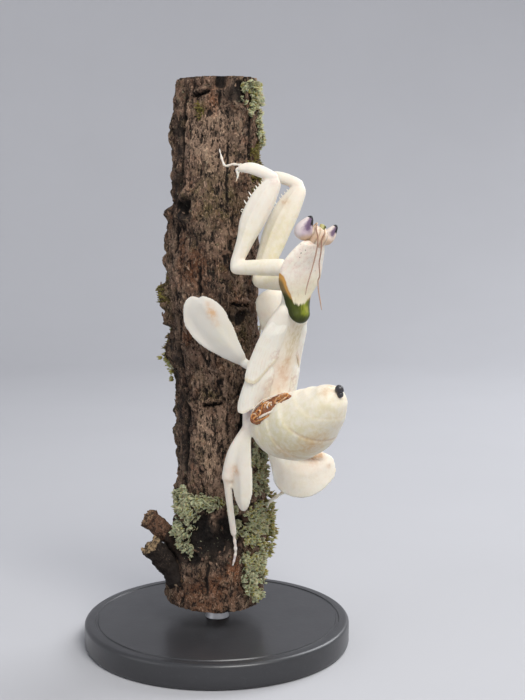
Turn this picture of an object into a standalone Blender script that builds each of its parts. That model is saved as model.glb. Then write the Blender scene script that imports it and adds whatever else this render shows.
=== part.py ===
"""Orchid mantis nymph (Hymenopus coronatus), life size and still, gripping a cut branch on a plain stand.

Lengths are millimetres until build_mesh() turns them into metres. The origin is the middle of the stand's
underside, +Z is up and the branch stands on the Z axis. The mantis clings head up to the branch's front
right side. Its midplane holds the Z axis, and body points are given in that plane by station().
"""

import math

import bmesh
import bpy
from mathutils import Vector

MM = 0.001
GAP = 0.3  # clearance left between two pieces that touch

# Stand and branch
BASE_RADIUS = 27.0
BASE_HEIGHT = 5.0
BASE_BEVEL = 0.8
ROD_RADIUS = 2.5
BRANCH_FOOT = 9.0
BRANCH_TOP = 113.0
BRANCH_RADII = (10.2, 8.7, 8.5, 9.1, 8.8, 7.8)  # evenly spaced from foot to top
BRANCH_SWAY = (-0.6, 0.7, 0.9, -0.7, 0.0, 0.5)  # how far its axis stands from the Z axis, along X
BARK_LUMP = 0.25  # height of the bark's swellings
TWIG_RADII = (2.2, 1.9)  # where it leaves the branch, and at its broken end
TWIG_LENGTH = 7.0  # from the branch's surface
TWIG_BEARING = math.radians(-72)
TWIG_RISE = 1.1  # climb for each millimetre outwards
TWIG_HEIGHTS = (15.9, 21.5)

# Where the mantis sits round the branch: 0 is the front (-Y), positive turns towards +X
BEARING = math.radians(42)
OUT = Vector((math.sin(BEARING), -math.cos(BEARING), 0))
LEFT = Vector((-math.cos(BEARING), -math.sin(BEARING), 0))
UP = Vector((0, 0, 1))

# The head is turned a little further to the front than the body, and rolled to its right
HEAD_BEARING = math.radians(22)
HEAD_ROLL = math.radians(21)
HEAD_BACK = Vector((math.sin(HEAD_BEARING), -math.cos(HEAD_BEARING), 0))
HEAD_LEVEL = Vector((-math.cos(HEAD_BEARING), -math.sin(HEAD_BEARING), 0))
HEAD_LEFT = HEAD_LEVEL * math.cos(HEAD_ROLL) + UP * math.sin(HEAD_ROLL)
CROWN = UP * math.cos(HEAD_ROLL) - HEAD_LEVEL * math.sin(HEAD_ROLL)
HEAD_CENTRE = Vector((19.1, -19.6, 83.0))
EYE_SPREAD = 2.75  # from the head's middle to an eye's middle
EYE_RADIUS = 1.6
EYE_REACH = 3.0  # from the middle of the eye to its pointed tip
EYE_DEPTH = 2.0  # from the middle of the eye to its lower end

ANTENNA_RADIUS = 0.27
SPINE_RADIUS = 0.3
SPINE_LENGTH = 1.3
LOBE_THICKNESS = 0.9
PAD_THICKNESS = 0.55
CLAW_LENGTH = 2.2


def station(out, height, left=0.0):
    """A point at a distance out from the branch's axis in the mantis's midplane, or to its left."""
    return OUT * out + UP * height + LEFT * left


def bark_point(bearing, height, clear=0.0):
    """A point on the bark, or outside it by clear. The branch swells in places and is not quite straight."""
    share = (height - BRANCH_FOOT) / (BRANCH_TOP - BRANCH_FOOT)
    lumps = math.sin(3 * bearing + height / 9) + math.sin(2 * bearing - height / 14 + 1)
    radius = along(BRANCH_RADII, share) + BARK_LUMP * lumps + clear
    sway = along(BRANCH_SWAY, share)
    return Vector((math.sin(bearing) * radius + sway, -math.cos(bearing) * radius, height))


def on_bark(bearing_degrees, height, clear):
    """A foothold outside the bark by clear, at a bearing in degrees and a height."""
    return bark_point(math.radians(bearing_degrees), height, clear)


def along(values, share):
    """The value at a share (0 to 1) of a smooth curve through values, which are numbers or points."""
    span = share * (len(values) - 1)
    i = min(int(span), len(values) - 2)
    f = span - i
    b, c = values[i], values[i + 1]
    a = values[i - 1] if i else b * 2 - c
    d = values[i + 2] if i + 2 < len(values) else c * 2 - b
    bend, twist = a * 2 - b * 5 + c * 4 - d, b * 3 - a - c * 3 + d
    return (b * 2 + (c - a) * f + bend * f * f + twist * f**3) * 0.5


def build_mesh(name, points, faces, colour, roughness=0.5, metallic=0.0):
    """An object from points in millimetres, with its normals turned outwards and its material."""
    mesh = bpy.data.meshes.new(name)
    mesh.from_pydata([tuple(p * MM) for p in points], [], faces)
    shape = bmesh.new()
    shape.from_mesh(mesh)
    bmesh.ops.recalc_face_normals(shape, faces=shape.faces)
    shape.to_mesh(mesh)
    shape.free()
    mesh.shade_smooth()
    material = bpy.data.materials.new(name)
    material.use_nodes = True
    surface = material.node_tree.nodes["Principled BSDF"]
    surface.inputs["Base Color"].default_value = (*colour, 1)
    surface.inputs["Roughness"].default_value = roughness
    surface.inputs["Metallic"].default_value = metallic
    mesh.materials.append(material)
    obj = bpy.data.objects.new(name, mesh)
    bpy.context.scene.collection.objects.link(obj)
    return obj


def ring_shares(rings, ends):
    """Shares of the length at which rings stand, closer together where an end rounds off."""
    curve = [1 - math.cos(math.radians(a)) for a in (0, 35, 68)]
    low, high = ends
    head = [low * c for c in curve] if low else [0.0]
    tail = [1 - high * c for c in reversed(curve)] if high else [1.0]
    first, last = (low or 0.0), 1 - (high or 0.0)
    middle = [first + (last - first) * i / (rings - 1) for i in range(rings)]
    middle = [m for m in middle if head[-1] + 0.01 < m < tail[0] - 0.01]
    return head + middle + tail


def rounding(share, ends):
    """How much of its width a piece has at a share of its length, given how far its ends round off."""
    low, high = ends
    if low and share < low:
        return math.sqrt(max(0.0, 1 - (1 - share / low) ** 2))
    if high and share > 1 - high:
        return math.sqrt(max(0.0, 1 - ((share - 1) / high + 1) ** 2))
    return 1.0


def loft(
    name, spine, widths, heights, side, colour, rings=8, sides=12, ends=(0.2, 0.2), square=1.0, roof=None
):
    """A closed body round a curved spine. A ring's half widths lie across side, its half heights across the
    third direction. square under 1 makes rings boxy, and roof is another half height for the outer side."""
    points, faces, previous = [], [], None
    for share in ring_shares(rings, ends):
        centre = along(spine, share)
        step = 0.02
        run = (along(spine, min(1, share + step)) - along(spine, max(0, share - step))).normalized()
        across = (side - run * side.dot(run)).normalized()
        up = run.cross(across)
        size = rounding(share, ends)
        if size < 0.01:
            points.append(centre)
            current = [len(points) - 1]
        else:
            wide, high = along(widths, share) * size, along(heights, share) * size
            top = along(roof, share) * size if roof else high
            current = []
            for k in range(sides):
                turn = 2 * math.pi * k / sides
                c, s = math.cos(turn), math.sin(turn)
                x = math.copysign(abs(c) ** square, c) * wide
                y = math.copysign(abs(s) ** square, s) * (top if s > 0 else high)
                points.append(centre + across * x + up * y)
                current.append(len(points) - 1)
        if previous is not None:
            faces += joined(previous, current)
        elif len(current) > 1:
            faces.append(tuple(current))
        previous = current
    if len(previous) > 1:
        faces.append(tuple(previous))
    return build_mesh(name, points, faces, colour)


def joined(a, b):
    """Faces between two rings of points, either of which may be a single point."""
    if len(a) == 1:
        return [(a[0], b[k], b[(k + 1) % len(b)]) for k in range(len(b))]
    if len(b) == 1:
        return [(a[k], a[(k + 1) % len(a)], b[0]) for k in range(len(a))]
    return [(a[k], a[(k + 1) % len(a)], b[(k + 1) % len(a)], b[k]) for k in range(len(a))]


def boolean(target, tool, operation, keep_tool=False):
    """Joins tool to target or takes it away, for good."""
    modifier = target.modifiers.new(operation, "BOOLEAN")
    modifier.object = tool
    modifier.operation = operation
    modifier.solver = "EXACT"
    bpy.context.view_layer.update()
    graph = bpy.context.evaluated_depsgraph_get()
    result = bpy.data.meshes.new_from_object(target.evaluated_get(graph))
    target.modifiers.clear()
    target.data = result
    if not keep_tool:
        bpy.data.objects.remove(tool)
    return target


def carve(target, *neighbours):
    """Cuts target back to GAP from each neighbour."""
    for neighbour in neighbours:
        cutter = neighbour.copy()
        cutter.data = neighbour.data.copy()
        bpy.context.scene.collection.objects.link(cutter)
        shape = bmesh.new()
        shape.from_mesh(cutter.data)
        bmesh.ops.remove_doubles(shape, verts=shape.verts, dist=1e-6)
        shape.normal_update()
        moves = [(v, v.normal.copy()) for v in shape.verts]
        for vertex, normal in moves:
            vertex.co += normal * GAP * 1.15 * MM
        bmesh.ops.triangulate(shape, faces=shape.faces)
        shape.to_mesh(cutter.data)
        shape.free()
        boolean(target, cutter, "DIFFERENCE")
    return target


def trim(obj, point, normal):
    """Cuts obj flat at a plane and drops what lies on the side that normal points to."""
    shape = bmesh.new()
    shape.from_mesh(obj.data)
    everything = list(shape.verts) + list(shape.edges) + list(shape.faces)
    cut = bmesh.ops.bisect_plane(
        shape, geom=everything, dist=1e-7, plane_co=point * MM, plane_no=normal, clear_outer=True
    )["geom_cut"]
    rim = [e for e in cut if isinstance(e, bmesh.types.BMEdge)]
    bmesh.ops.holes_fill(shape, edges=rim)
    bmesh.ops.recalc_face_normals(shape, faces=shape.faces)
    shape.to_mesh(obj.data)
    shape.free()


def part_at(joint, a, b, into_a, into_b):
    """Parts two limb segments that meet at a joint with one thin cut halfway between their directions."""
    normal = (into_b.normalized() - into_a.normalized()).normalized()
    trim(a, joint - normal * GAP / 2, normal)
    trim(b, joint + normal * GAP / 2, -normal)


SIDES = ((1, "left"), (-1, "right"))
WHITE = (0.87, 0.85, 0.76)
PINK = (0.82, 0.70, 0.68)
LILAC = (0.62, 0.52, 0.62)
BEIGE = (0.80, 0.66, 0.50)
RUST = (0.45, 0.24, 0.16)
BLACK = (0.02, 0.015, 0.02)
BARK = (0.20, 0.13, 0.09)


def stand():
    """The base, a flat disc with a rounded rim, and the rod that carries the branch."""
    profile = [(0, 0), (BASE_RADIUS, 0), (BASE_RADIUS, BASE_HEIGHT - BASE_BEVEL)]
    profile += [
        (BASE_RADIUS - BASE_BEVEL * (1 - math.cos(a)), BASE_HEIGHT - BASE_BEVEL * (1 - math.sin(a)))
        for a in (math.radians(45), math.radians(90))
    ]
    turned("stand_base", profile + [(0, BASE_HEIGHT)], 40, (0.16, 0.16, 0.17))
    low, high = BASE_HEIGHT + GAP, BRANCH_FOOT - GAP
    turned("stand_rod", [(0, low), (ROD_RADIUS, low), (ROD_RADIUS, high), (0, high)], 20, (0.7, 0.7, 0.7))


def turned(name, profile, sides, colour):
    """A body turned about Z from (radius, height) pairs that start and end on the axis."""
    points = [Vector((0, 0, profile[0][1]))]
    rings = [[0]]
    for radius, height in profile[1:-1]:
        ring = []
        for k in range(sides):
            turn = 2 * math.pi * k / sides
            points.append(Vector((radius * math.cos(turn), radius * math.sin(turn), height)))
            ring.append(len(points) - 1)
        rings.append(ring)
    points.append(Vector((0, 0, profile[-1][1])))
    rings.append([len(points) - 1])
    faces = [f for a, b in zip(rings, rings[1:]) for f in joined(a, b)]
    return build_mesh(name, points, faces, colour)


def branch():
    """The cut branch with its swellings, and the stubs of two sawn twigs that grow from it."""
    sides, rings = 20, 15
    points, loops = [], []
    for i in range(rings):
        height = BRANCH_FOOT + (BRANCH_TOP - BRANCH_FOOT) * i / (rings - 1)
        points += [bark_point(2 * math.pi * k / sides, height) for k in range(sides)]
        loops.append(list(range(i * sides, (i + 1) * sides)))
    faces = [tuple(loops[0]), tuple(loops[-1])]
    faces += [f for a, b in zip(loops, loops[1:]) for f in joined(a, b)]
    wood = build_mesh("branch", points, faces, BARK, 0.9)
    away = Vector((math.sin(TWIG_BEARING), -math.cos(TWIG_BEARING), TWIG_RISE)).normalized()
    for height in TWIG_HEIGHTS:
        root = bark_point(TWIG_BEARING, height)
        ends = [root - away * 3.5, root + away * TWIG_LENGTH]
        twig = loft("twig", ends, TWIG_RADII, TWIG_RADII, UP, BARK, 2, 10, (0, 0))
        boolean(wood, twig, "UNION")
    return wood


def head():
    """The head capsule from crown to mouth, its pointed eyes, and the little horn between them."""
    crown, mouth = HEAD_CENTRE + CROWN * 2.1, HEAD_CENTRE - CROWN * 2.4 - HEAD_BACK * 3.4
    spine = [crown, HEAD_CENTRE + HEAD_BACK * 0.3, HEAD_CENTRE - CROWN * 1.6 - HEAD_BACK * 1.2, mouth]
    widths, depths = [2.3, 2.8, 2.2, 1.0], [1.1, 1.7, 1.5, 0.8]
    capsule = loft("head", spine, widths, depths, HEAD_LEFT, BEIGE, 5, 12, (0.2, 0.2))
    horn_root = crown - CROWN * 1.0 - HEAD_LEFT * 0.6
    horn = loft(
        "horn", [horn_root, horn_root + CROWN * 2.0 - HEAD_LEFT * 0.5], [0.75, 0.3], [0.6, 0.28], HEAD_LEFT,
        (0.45, 0.42, 0.08), 3, 8, (0, 0.3),
    )
    boolean(capsule, horn, "UNION")
    eyes = []
    for side, which in SIDES:
        middle = HEAD_CENTRE + HEAD_LEFT * EYE_SPREAD * side + CROWN * 0.4
        tip = middle + CROWN * EYE_REACH + HEAD_LEFT * 0.35 * side
        low = middle - CROWN * EYE_DEPTH
        eye = loft(
            "eye_" + which, [low, middle, tip], [EYE_RADIUS * 0.85, EYE_RADIUS, EYE_RADIUS * 0.3],
            [EYE_RADIUS * 0.85, EYE_RADIUS * 1.05, EYE_RADIUS * 0.34], HEAD_LEFT, LILAC, 5, 8, (0.3, 0.08),
        )
        eyes.append(eye)
    carve(capsule, *eyes)
    return capsule, eyes


def antenna(name, side, places):
    """One thread-like feeler, from the front of the head over the crown and down the back."""
    base = HEAD_CENTRE + CROWN * 0.9 + HEAD_LEFT * 0.75 * side - HEAD_BACK * 2.3
    top = HEAD_CENTRE + CROWN * 2.75 + HEAD_LEFT * 0.85 * side - HEAD_BACK * 0.9
    spine = [base, top] + [station(*p) for p in places]
    thick = [ANTENNA_RADIUS] * len(spine)
    return loft(name, spine, thick, thick, HEAD_LEFT, RUST, 14, 5, (0, 0.02))


def prothorax():
    """The shield of the pronotum with the body below it: narrow front, wide shoulders, rounded hind lobe."""
    places = ((27.5, 80.8), (26.4, 78.4), (24.3, 74.9), (23.8, 71.8), (24.0, 69.2), (24.8, 66.8))
    spine = [station(*p) for p in places]
    widths = [1.9, 3.3, 4.9, 3.4, 2.3, 1.9]
    belly = [1.3, 2.0, 2.4, 2.1, 1.8, 1.5]
    back = [1.2, 1.8, 2.2, 2.0, 1.8, 1.6]
    return loft("prothorax", spine, widths, belly, LEFT, WHITE, 8, 14, (0.06, 0.14), 0.9, back)


THORAX_SPINE = ((23.8, 71.8), (20.0, 66.6), (17.7, 61.5), (15.6, 54.7), (14.4, 49.6))
THORAX_WIDTHS = (2.1, 4.0, 5.0, 5.5, 5.3)
THORAX_HEIGHTS = (1.6, 2.2, 2.2, 2.3, 2.3)


def thorax():
    """Mesothorax and metathorax under the wing pads, parted where the middle and hind legs divide them.
    The first of the three is the whole of it, which only serves to cut its neighbours."""
    spine = [station(*p) for p in THORAX_SPINE]
    pieces = [
        loft(name, spine, THORAX_WIDTHS, THORAX_HEIGHTS, LEFT, WHITE, 9, 14, (0.1, 0.1))
        for name in ("whole_thorax", "mesothorax", "metathorax")
    ]
    part_at(station(17.0, 58.0), *pieces[1:], spine[1] - spine[2], spine[3] - spine[2])
    return pieces


def wing_pad(name, side, start, length, hem, lift):
    """One petal-like wing pad: a curved plate over the side of the thorax, rounded at its free hind end.
    start and length are shares of the thorax, and hem is how many degrees down the side it hangs.
    Its free end stands off the thorax by lift."""
    spine = [station(*p) for p in THORAX_SPINE]
    rows, columns = 8, 5
    points, index = [], {}
    for layer in (0, 1):
        for i in range(rows + 1):
            run = i / rows
            taper = math.sqrt(1 - (max(0.0, run - 0.45) / 0.58) ** 2) * (1 - 0.35 * (1 - run) ** 3)
            for j in range(columns + 1):
                fan = j / columns
                angle = math.radians(90 - hem * (0.5 + 0.5 * taper) * fan - 8 * (1 - taper))
                share = start + length * run * (1 - 0.10 * (1 - fan))
                heading = (along(spine, share + 0.02) - along(spine, share - 0.02)).normalized()
                up = LEFT.cross(heading)
                grow = GAP + 0.1 + layer * PAD_THICKNESS + lift * min(1.0, run / 0.7) + 0.9 * fan * run
                across = GAP * 0.6 + math.cos(angle) * (along(THORAX_WIDTHS, share) + grow)
                rise = math.sin(angle) * (along(THORAX_HEIGHTS, share) + grow)
                points.append(along(spine, share) + LEFT * side * across + up * rise)
                index[layer, i, j] = len(points) - 1
    faces = []
    for i in range(rows):
        for j in range(columns):
            corners = ((i, j), (i + 1, j), (i + 1, j + 1), (i, j + 1))
            faces += [tuple(index[layer, a, b] for a, b in corners) for layer in (0, 1)]
    rim = [(i, 0) for i in range(rows)] + [(rows, j) for j in range(columns)]
    rim += [(i, columns) for i in range(rows, 0, -1)] + [(0, j) for j in range(columns, 0, -1)]
    for a, b in zip(rim, rim[1:] + rim[:1]):
        faces.append((index[0, *a], index[0, *b], index[1, *b], index[1, *a]))
    return build_mesh(name, points, faces, WHITE)


def abdomen():
    """The plump abdomen, curled up over the back, and the black point at its end."""
    places = ((14.2, 49.4), (19.9, 47.2), (25.6, 48.3), (30.9, 51.3), (34.3, 55.4))
    spine = [station(*p) for p in places]
    widths, heights = [4.4, 5.9, 6.3, 4.8, 2.3], [4.3, 6.0, 6.5, 4.8, 2.0]
    trunk = loft("abdomen", spine, widths, heights, LEFT, WHITE, 9, 14, (0.1, 0.1))
    end = along(spine, 0.965)
    heading = (spine[-1] - spine[-2]).normalized()
    point = end + heading * 2.3 + OUT * 0.4
    tip = loft("abdomen_tip", [end, point], [1.2, 0.9], [0.9, 0.7], LEFT, BLACK, 3, 8, (0, 0.5))
    carve(tip, trunk)
    return trunk, tip


def segment(name, a, b, radius_a, radius_b, flat=1.0, side=OUT, bulge=1.0, sides=10):
    """A limb segment from joint to joint, oval, with rounded ends that pass both joints by their radius."""
    run = (b - a).normalized()
    first, last = a - run * radius_a * 0.7, b + run * radius_b * 0.7
    length = (last - first).length
    widths = [radius_a, (radius_a + radius_b) / 2 * bulge, radius_b]
    heights = [w * flat for w in widths]
    ends = (min(0.45, radius_a / length), min(0.45, radius_b / length))
    return loft(name, [first, (first + last) / 2, last], widths, heights, side, WHITE, 5, sides, ends)


def foreleg(which, joints, femur_width, foot):
    """A raptorial foreleg through four joints: coxa, spined femur, short hooked tibia, and the thin tarsus,
    whose path foot ends on the bark."""
    coxa_base, trochanter, knee, claw = joints
    rise, reach = (knee - trochanter).normalized(), (claw - knee).normalized()
    face = rise.cross(reach).normalized()
    coxa_side = face.cross(trochanter - coxa_base).normalized()
    coxa = segment("coxa_fore_" + which, coxa_base, trochanter, 1.9, 1.5, 0.85, coxa_side)
    edge = face.cross(rise).normalized()
    inner = edge if edge.dot(reach) > 0 else -edge
    thigh = trochanter.lerp(knee, 0.3) + inner * 0.5
    spine = [trochanter - rise, thigh, trochanter.lerp(knee, 0.7), knee + rise * 0.9]
    widths, depths = [1.6, femur_width, femur_width * 0.8, 1.35], [1.2, 1.3, 1.15, 0.9]
    femur = loft("femur_fore_" + which, spine, widths, depths, edge, WHITE, 7, 10, (0.1, 0.08))
    for k in range(5):
        share = 0.52 + 0.09 * k
        root = trochanter.lerp(knee, share) + inner * (femur_width * (0.95 - 0.06 * k) - 0.4)
        lean = (inner + rise * 0.55).normalized()
        ends, radii = [root - lean * 0.4, root + lean * SPINE_LENGTH], [SPINE_RADIUS, SPINE_RADIUS * 0.5]
        boolean(femur, loft("spike", ends, radii, radii, face, WHITE, 2, 4, (0, 0)), "UNION")
    corner = (rise - reach).normalized()
    arch = (rise - reach * rise.dot(reach)).normalized() * 0.9
    breadth = face.cross(reach).normalized()
    spine = [knee + corner * 0.8, knee.lerp(claw, 0.3) + arch, knee.lerp(claw, 0.7) + arch * 0.9, claw]
    widths, depths = [1.2, 1.3, 1.2, 0.7], [0.9, 0.9, 0.8, 0.55]
    tibia = loft("tibia_fore_" + which, spine, widths, depths, breadth, WHITE, 6, 10, (0.12, 0.05))
    ends = [claw - reach * 0.9 + arch * 0.2, claw + reach * 0.2 - UP * CLAW_LENGTH]
    boolean(tibia, loft("hook", ends, [0.7, 0.25], [0.55, 0.25], reach, WHITE, 2, 8, (0, 0.2)), "UNION")
    part_at(trochanter, coxa, femur, coxa_base - trochanter, rise)
    part_at(knee, femur, tibia, -rise, reach)
    thin = [0.35] * len(foot)
    tarsus = loft("tarsus_fore_" + which, foot, thin, thin, face, WHITE, 7, 6, (0, 0.04))
    carve(tarsus, tibia)
    return [coxa, femur, tibia, tarsus]


def walking_leg(which, joints, toes, lobe, lobe_widths, lobe_side):
    """A middle or hind leg through four joints: coxa, femur with its petal-like lobe, slim tibia, and tarsus,
    which ends at toes on the bark. lobe is the path of the lobe's middle, and lobe_side lies across it."""
    coxa_base, hip, knee, ankle = joints
    bend = (knee - hip).cross(ankle - knee).normalized()
    coxa = segment("coxa_" + which, coxa_base, hip, 1.5, 1.0)
    femur = segment("femur_" + which, hip, knee, 0.9, 1.5, 0.65, lobe_side, 1.25)
    tibia = segment("tibia_" + which, knee, ankle, 0.85, 0.55, 1.0, bend, 1.0, 8)
    part_at(hip, coxa, femur, coxa_base - hip, knee - hip)
    part_at(knee, femur, tibia, hip - knee, ankle - knee)
    halves = [LOBE_THICKNESS / 2] * len(lobe_widths)
    petal = loft("petal", lobe, lobe_widths, halves, lobe_side, WHITE, 7, 8, (0.1, 0.22), 0.75)
    boolean(femur, petal, "UNION")
    carve(femur, tibia, coxa)
    thin = [0.45] * len(toes) + [0.3]
    tarsus = loft("tarsus_" + which, [ankle] + toes, thin, thin, bend, PINK, 7, 8, (0, 0.05))
    carve(tarsus, tibia)
    return [coxa, femur, tibia, tarsus]


def mantis():
    """The whole insect, from its head down; pieces that meet are cut back from each other by GAP."""
    capsule, eyes = head()
    feelers = [
        antenna(
            "antenna_left", 1,
            ((30.3, 83.0, 1.9), (29.4, 80.3, 0.9), (28.4, 76.2, 0.4), (27.6, 72.2, 1.6)),
        ),
        antenna(
            "antenna_right", -1,
            ((30.3, 82.9, 0.4), (29.6, 80.8, 0.0), (28.6, 76.7, -1.4), (27.9, 73.1, -1.4), (28.2, 69.6, -2.2)),
        ),
    ]
    shield = prothorax()
    whole, front, rear = thorax()
    fore_pads = [wing_pad("wing_pad_fore_" + which, side, 0.22, 0.47, 80, 0.85) for side, which in SIDES]
    hind_pads = [wing_pad("wing_pad_hind_" + which, side, 0.55, 0.42, 84, 0.0) for side, which in SIDES]
    trunk, tip = abdomen()
    legs(shield, whole, trunk)
    carve(capsule, shield, *feelers)
    for piece in (front, *fore_pads):
        carve(piece, shield)
    carve(trunk, whole, *hind_pads)
    bpy.data.objects.remove(whole)


def vectors(*places):
    return [Vector(p) for p in places]


def legs(shield, thorax_body, trunk):
    """The six legs, each from its place on the body to where its foot grips the bark."""
    fore_left = foreleg(
        "left",
        [station(23.0, 76.6, 3.2)] + vectors((4.3, -14.0, 77.7), (11.7, -13.2, 93.2), (4.7, -11.4, 95.6)),
        2.35,
        vectors((5.2, -11.0, 96.2), (2.3, -10.2, 95.9)) + [on_bark(4, 99.2, 0.5)],
    )
    fore_right = foreleg(
        "right",
        [station(21.8, 73.9, -2.4)] + vectors((9.5, -9.5, 75.2), (16.6, -8.0, 92.0), (9.6, -5.0, 94.0)),
        2.7,
        vectors((10.4, -5.0, 94.6), (10.6, -0.6, 94.8)) + [on_bark(108, 95.0, 0.5)],
    )
    mid_left = walking_leg(
        "mid_left",
        [station(16.4, 60.5, 3.6)] + vectors((6.2, -13.4, 58.8), (0.2, -13.4, 70.6), (2.6, -9.8, 64.0)),
        [on_bark(10, 60.6, 0.8), on_bark(4, 57.4, 0.6)],
        vectors((6.2, -13.4, 58.8), (0.8, -13.8, 64.6), (-4.0, -13.4, 70.4)),
        [0.9, 3.2, 4.2], Vector((0.75, 0.0, 0.66)),
    )
    mid_right = walking_leg(
        "mid_right",
        [station(15.9, 61.0, -3.6)] + vectors((11.9, -5.6, 61.2), (13.2, 1.8, 71.0), (9.0, 4.2, 65.2)),
        [on_bark(120, 62.4, 0.8), on_bark(124, 59.4, 0.6)],
        vectors((11.8, -5.2, 61.4), (12.4, -1.2, 67.0), (12.8, 2.4, 72.6)),
        [0.9, 3.0, 3.9], Vector((0.9, 0.3, 0.0)),
    )
    hind_left = walking_leg(
        "hind_left",
        [station(13.6, 50.4, 3.4)] + vectors((6.7, -13.5, 46.8), (2.4, -13.6, 37.2), (3.7, -10.4, 25.2)),
        [on_bark(21, 21.4, 0.8), on_bark(19, 18.4, 0.6)],
        vectors((6.4, -14.0, 46.4), (5.2, -15.0, 40.1), (5.2, -15.2, 31.3)),
        [1.2, 3.6, 3.9], Vector((0.5, -0.85, 0.0)),
    )
    hind_right = walking_leg(
        "hind_right",
        [station(13.0, 50.0, -3.2)] + vectors((10.6, -6.0, 43.2), (23.0, 0.0, 38.0), (13.4, 0.2, 30.8)),
        [on_bark(82, 29.0, 0.9), on_bark(86, 26.6, 0.6)],
        vectors(
            (10.2, -5.6, 41.4), (13.2, -3.6, 36.9), (17.2, -2.0, 34.9), (21.2, -0.6, 35.9), (23.3, 0.2, 37.4)
        ),
        [1.2, 4.0, 4.7, 3.8, 1.8], Vector((-0.3, 0.1, 0.95)),
    )
    for leg in (fore_left, fore_right):
        carve(leg[0], shield)
    for leg in (mid_left, mid_right, hind_left, hind_right):
        carve(leg[0], thorax_body)
    for leg in (hind_left, hind_right):
        for piece in leg[:2]:
            carve(piece, trunk)


def main():
    for obj in list(bpy.data.objects):
        bpy.data.objects.remove(obj)
    stand()
    branch()
    mantis()


main()
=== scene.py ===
"""Orchid mantis gripping a cut branch on a plain stand: the finish of a life-size display model.

Laid out as an add-on and run as a script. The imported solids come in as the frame, and every piece below is
modelled over them. Lengths are millimetres until a shape is placed, and then metres. The branch stands on
the Z axis, and body points are given in the mantis's midplane by station().
"""

import math
import random

import bpy
import numpy as np
from mathutils import Matrix, Vector, kdtree, noise


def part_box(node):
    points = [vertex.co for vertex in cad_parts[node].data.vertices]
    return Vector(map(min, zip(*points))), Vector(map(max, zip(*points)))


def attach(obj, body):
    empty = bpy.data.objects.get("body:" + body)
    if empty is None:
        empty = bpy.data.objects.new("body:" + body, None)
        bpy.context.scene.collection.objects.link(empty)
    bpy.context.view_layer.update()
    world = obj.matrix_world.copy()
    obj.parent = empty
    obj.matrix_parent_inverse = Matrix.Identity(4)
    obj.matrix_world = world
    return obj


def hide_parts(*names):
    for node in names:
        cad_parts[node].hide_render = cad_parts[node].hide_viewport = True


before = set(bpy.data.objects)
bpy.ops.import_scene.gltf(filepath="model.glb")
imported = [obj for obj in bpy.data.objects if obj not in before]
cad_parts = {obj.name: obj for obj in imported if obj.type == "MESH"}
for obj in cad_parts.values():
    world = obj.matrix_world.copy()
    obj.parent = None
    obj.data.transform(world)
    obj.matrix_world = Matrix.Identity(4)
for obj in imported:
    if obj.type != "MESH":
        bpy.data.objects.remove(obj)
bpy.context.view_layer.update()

bl_info = {
    "name": "Orchid mantis display model",
    "version": (1, 0, 0),
    "blender": (4, 5, 0),
    "location": "3D View > Sidebar > Mantis",
    "description": "Builds a life-size orchid mantis on its branch and stand",
    "category": "Object",
}

MM = 0.001


# ---------------------------------------------------------------- measures

def node_size(name):
    """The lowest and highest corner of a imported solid, in millimetres."""
    low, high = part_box(name)
    return low / MM, high / MM


BASE_HIGH = node_size("stand_base")[1]
ROD_HIGH = node_size("stand_rod")[1]
BRANCH_LOW, BRANCH_HIGH = node_size("branch")
BRANCH_FOOT, BRANCH_TOP = BRANCH_LOW.z, BRANCH_HIGH.z
BRANCH_RADII = (10.2, 8.7, 8.5, 9.1, 8.8, 7.8)  # evenly spaced from foot to top
BRANCH_SWAY = (-0.6, 0.7, 0.9, -0.7, 0.0, 0.5)  # how far its axis stands from the Z axis, along X
MIDDLING_RADIUS = 8.7  # of the bare branch, for what is laid out round it
BARK_LUMP = 0.25
BARK_DEPTH = 0.0009  # in metres
# Twig stubs: bearing, height, radius, how steeply they rise, and length
TWIGS = ((-66, 15.9, 2.2, 1.15, 8.0), (-76, 21.5, 1.9, 0.95, 8.1))


def outward(bearing, reach=1.0, height=0.0):
    """A point round the branch's axis. Bearings run from the branch's front, -Y, towards +X."""
    return Vector((math.sin(bearing) * reach, -math.cos(bearing) * reach, height))


BEARING = math.radians(42)
OUT = outward(BEARING)
LEFT = Vector((-math.cos(BEARING), -math.sin(BEARING), 0))
UP = Vector((0, 0, 1))

HEAD_BEARING = math.radians(22)
HEAD_ROLL = math.radians(21)
HEAD_BACK = outward(HEAD_BEARING)
HEAD_LEVEL = Vector((-math.cos(HEAD_BEARING), -math.sin(HEAD_BEARING), 0))
HEAD_LEFT = HEAD_LEVEL * math.cos(HEAD_ROLL) + UP * math.sin(HEAD_ROLL)
CROWN = UP * math.cos(HEAD_ROLL) - HEAD_LEVEL * math.sin(HEAD_ROLL)
HEAD_CENTRE = Vector((19.1, -19.6, 83.0))

SIDES = ((1, "left"), (-1, "right"))


def station(out, height, left=0.0):
    """A point out from the branch's axis in the mantis's midplane, or to its left."""
    return OUT * out + UP * height + LEFT * left


def stations(*places):
    return [station(*p) for p in places]


def vectors(*places):
    return [Vector(p) for p in places]


def along(values, share):
    """The value at a share (0 to 1) of a smooth curve through values, which are numbers or points."""
    share = min(1.0, max(0.0, share))
    span = share * (len(values) - 1)
    i = min(int(span), len(values) - 2)
    f = span - i
    b, c = values[i], values[i + 1]
    a = values[i - 1] if i else b * 2 - c
    d = values[i + 2] if i + 2 < len(values) else c * 2 - b
    bend, twist = a * 2 - b * 5 + c * 4 - d, b * 3 - a - c * 3 + d
    return (b * 2 + (c - a) * f + bend * f * f + twist * f**3) * 0.5


def smooth(value, low=0.0, high=1.0):
    """0 below low, 1 above high, and a soft step between."""
    t = min(1.0, max(0.0, (value - low) / (high - low)))
    return t * t * (3 - 2 * t)


def bell(value, middle, width):
    """A soft bump of height 1 at middle."""
    return math.exp(-(((value - middle) / width) ** 2))


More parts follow.
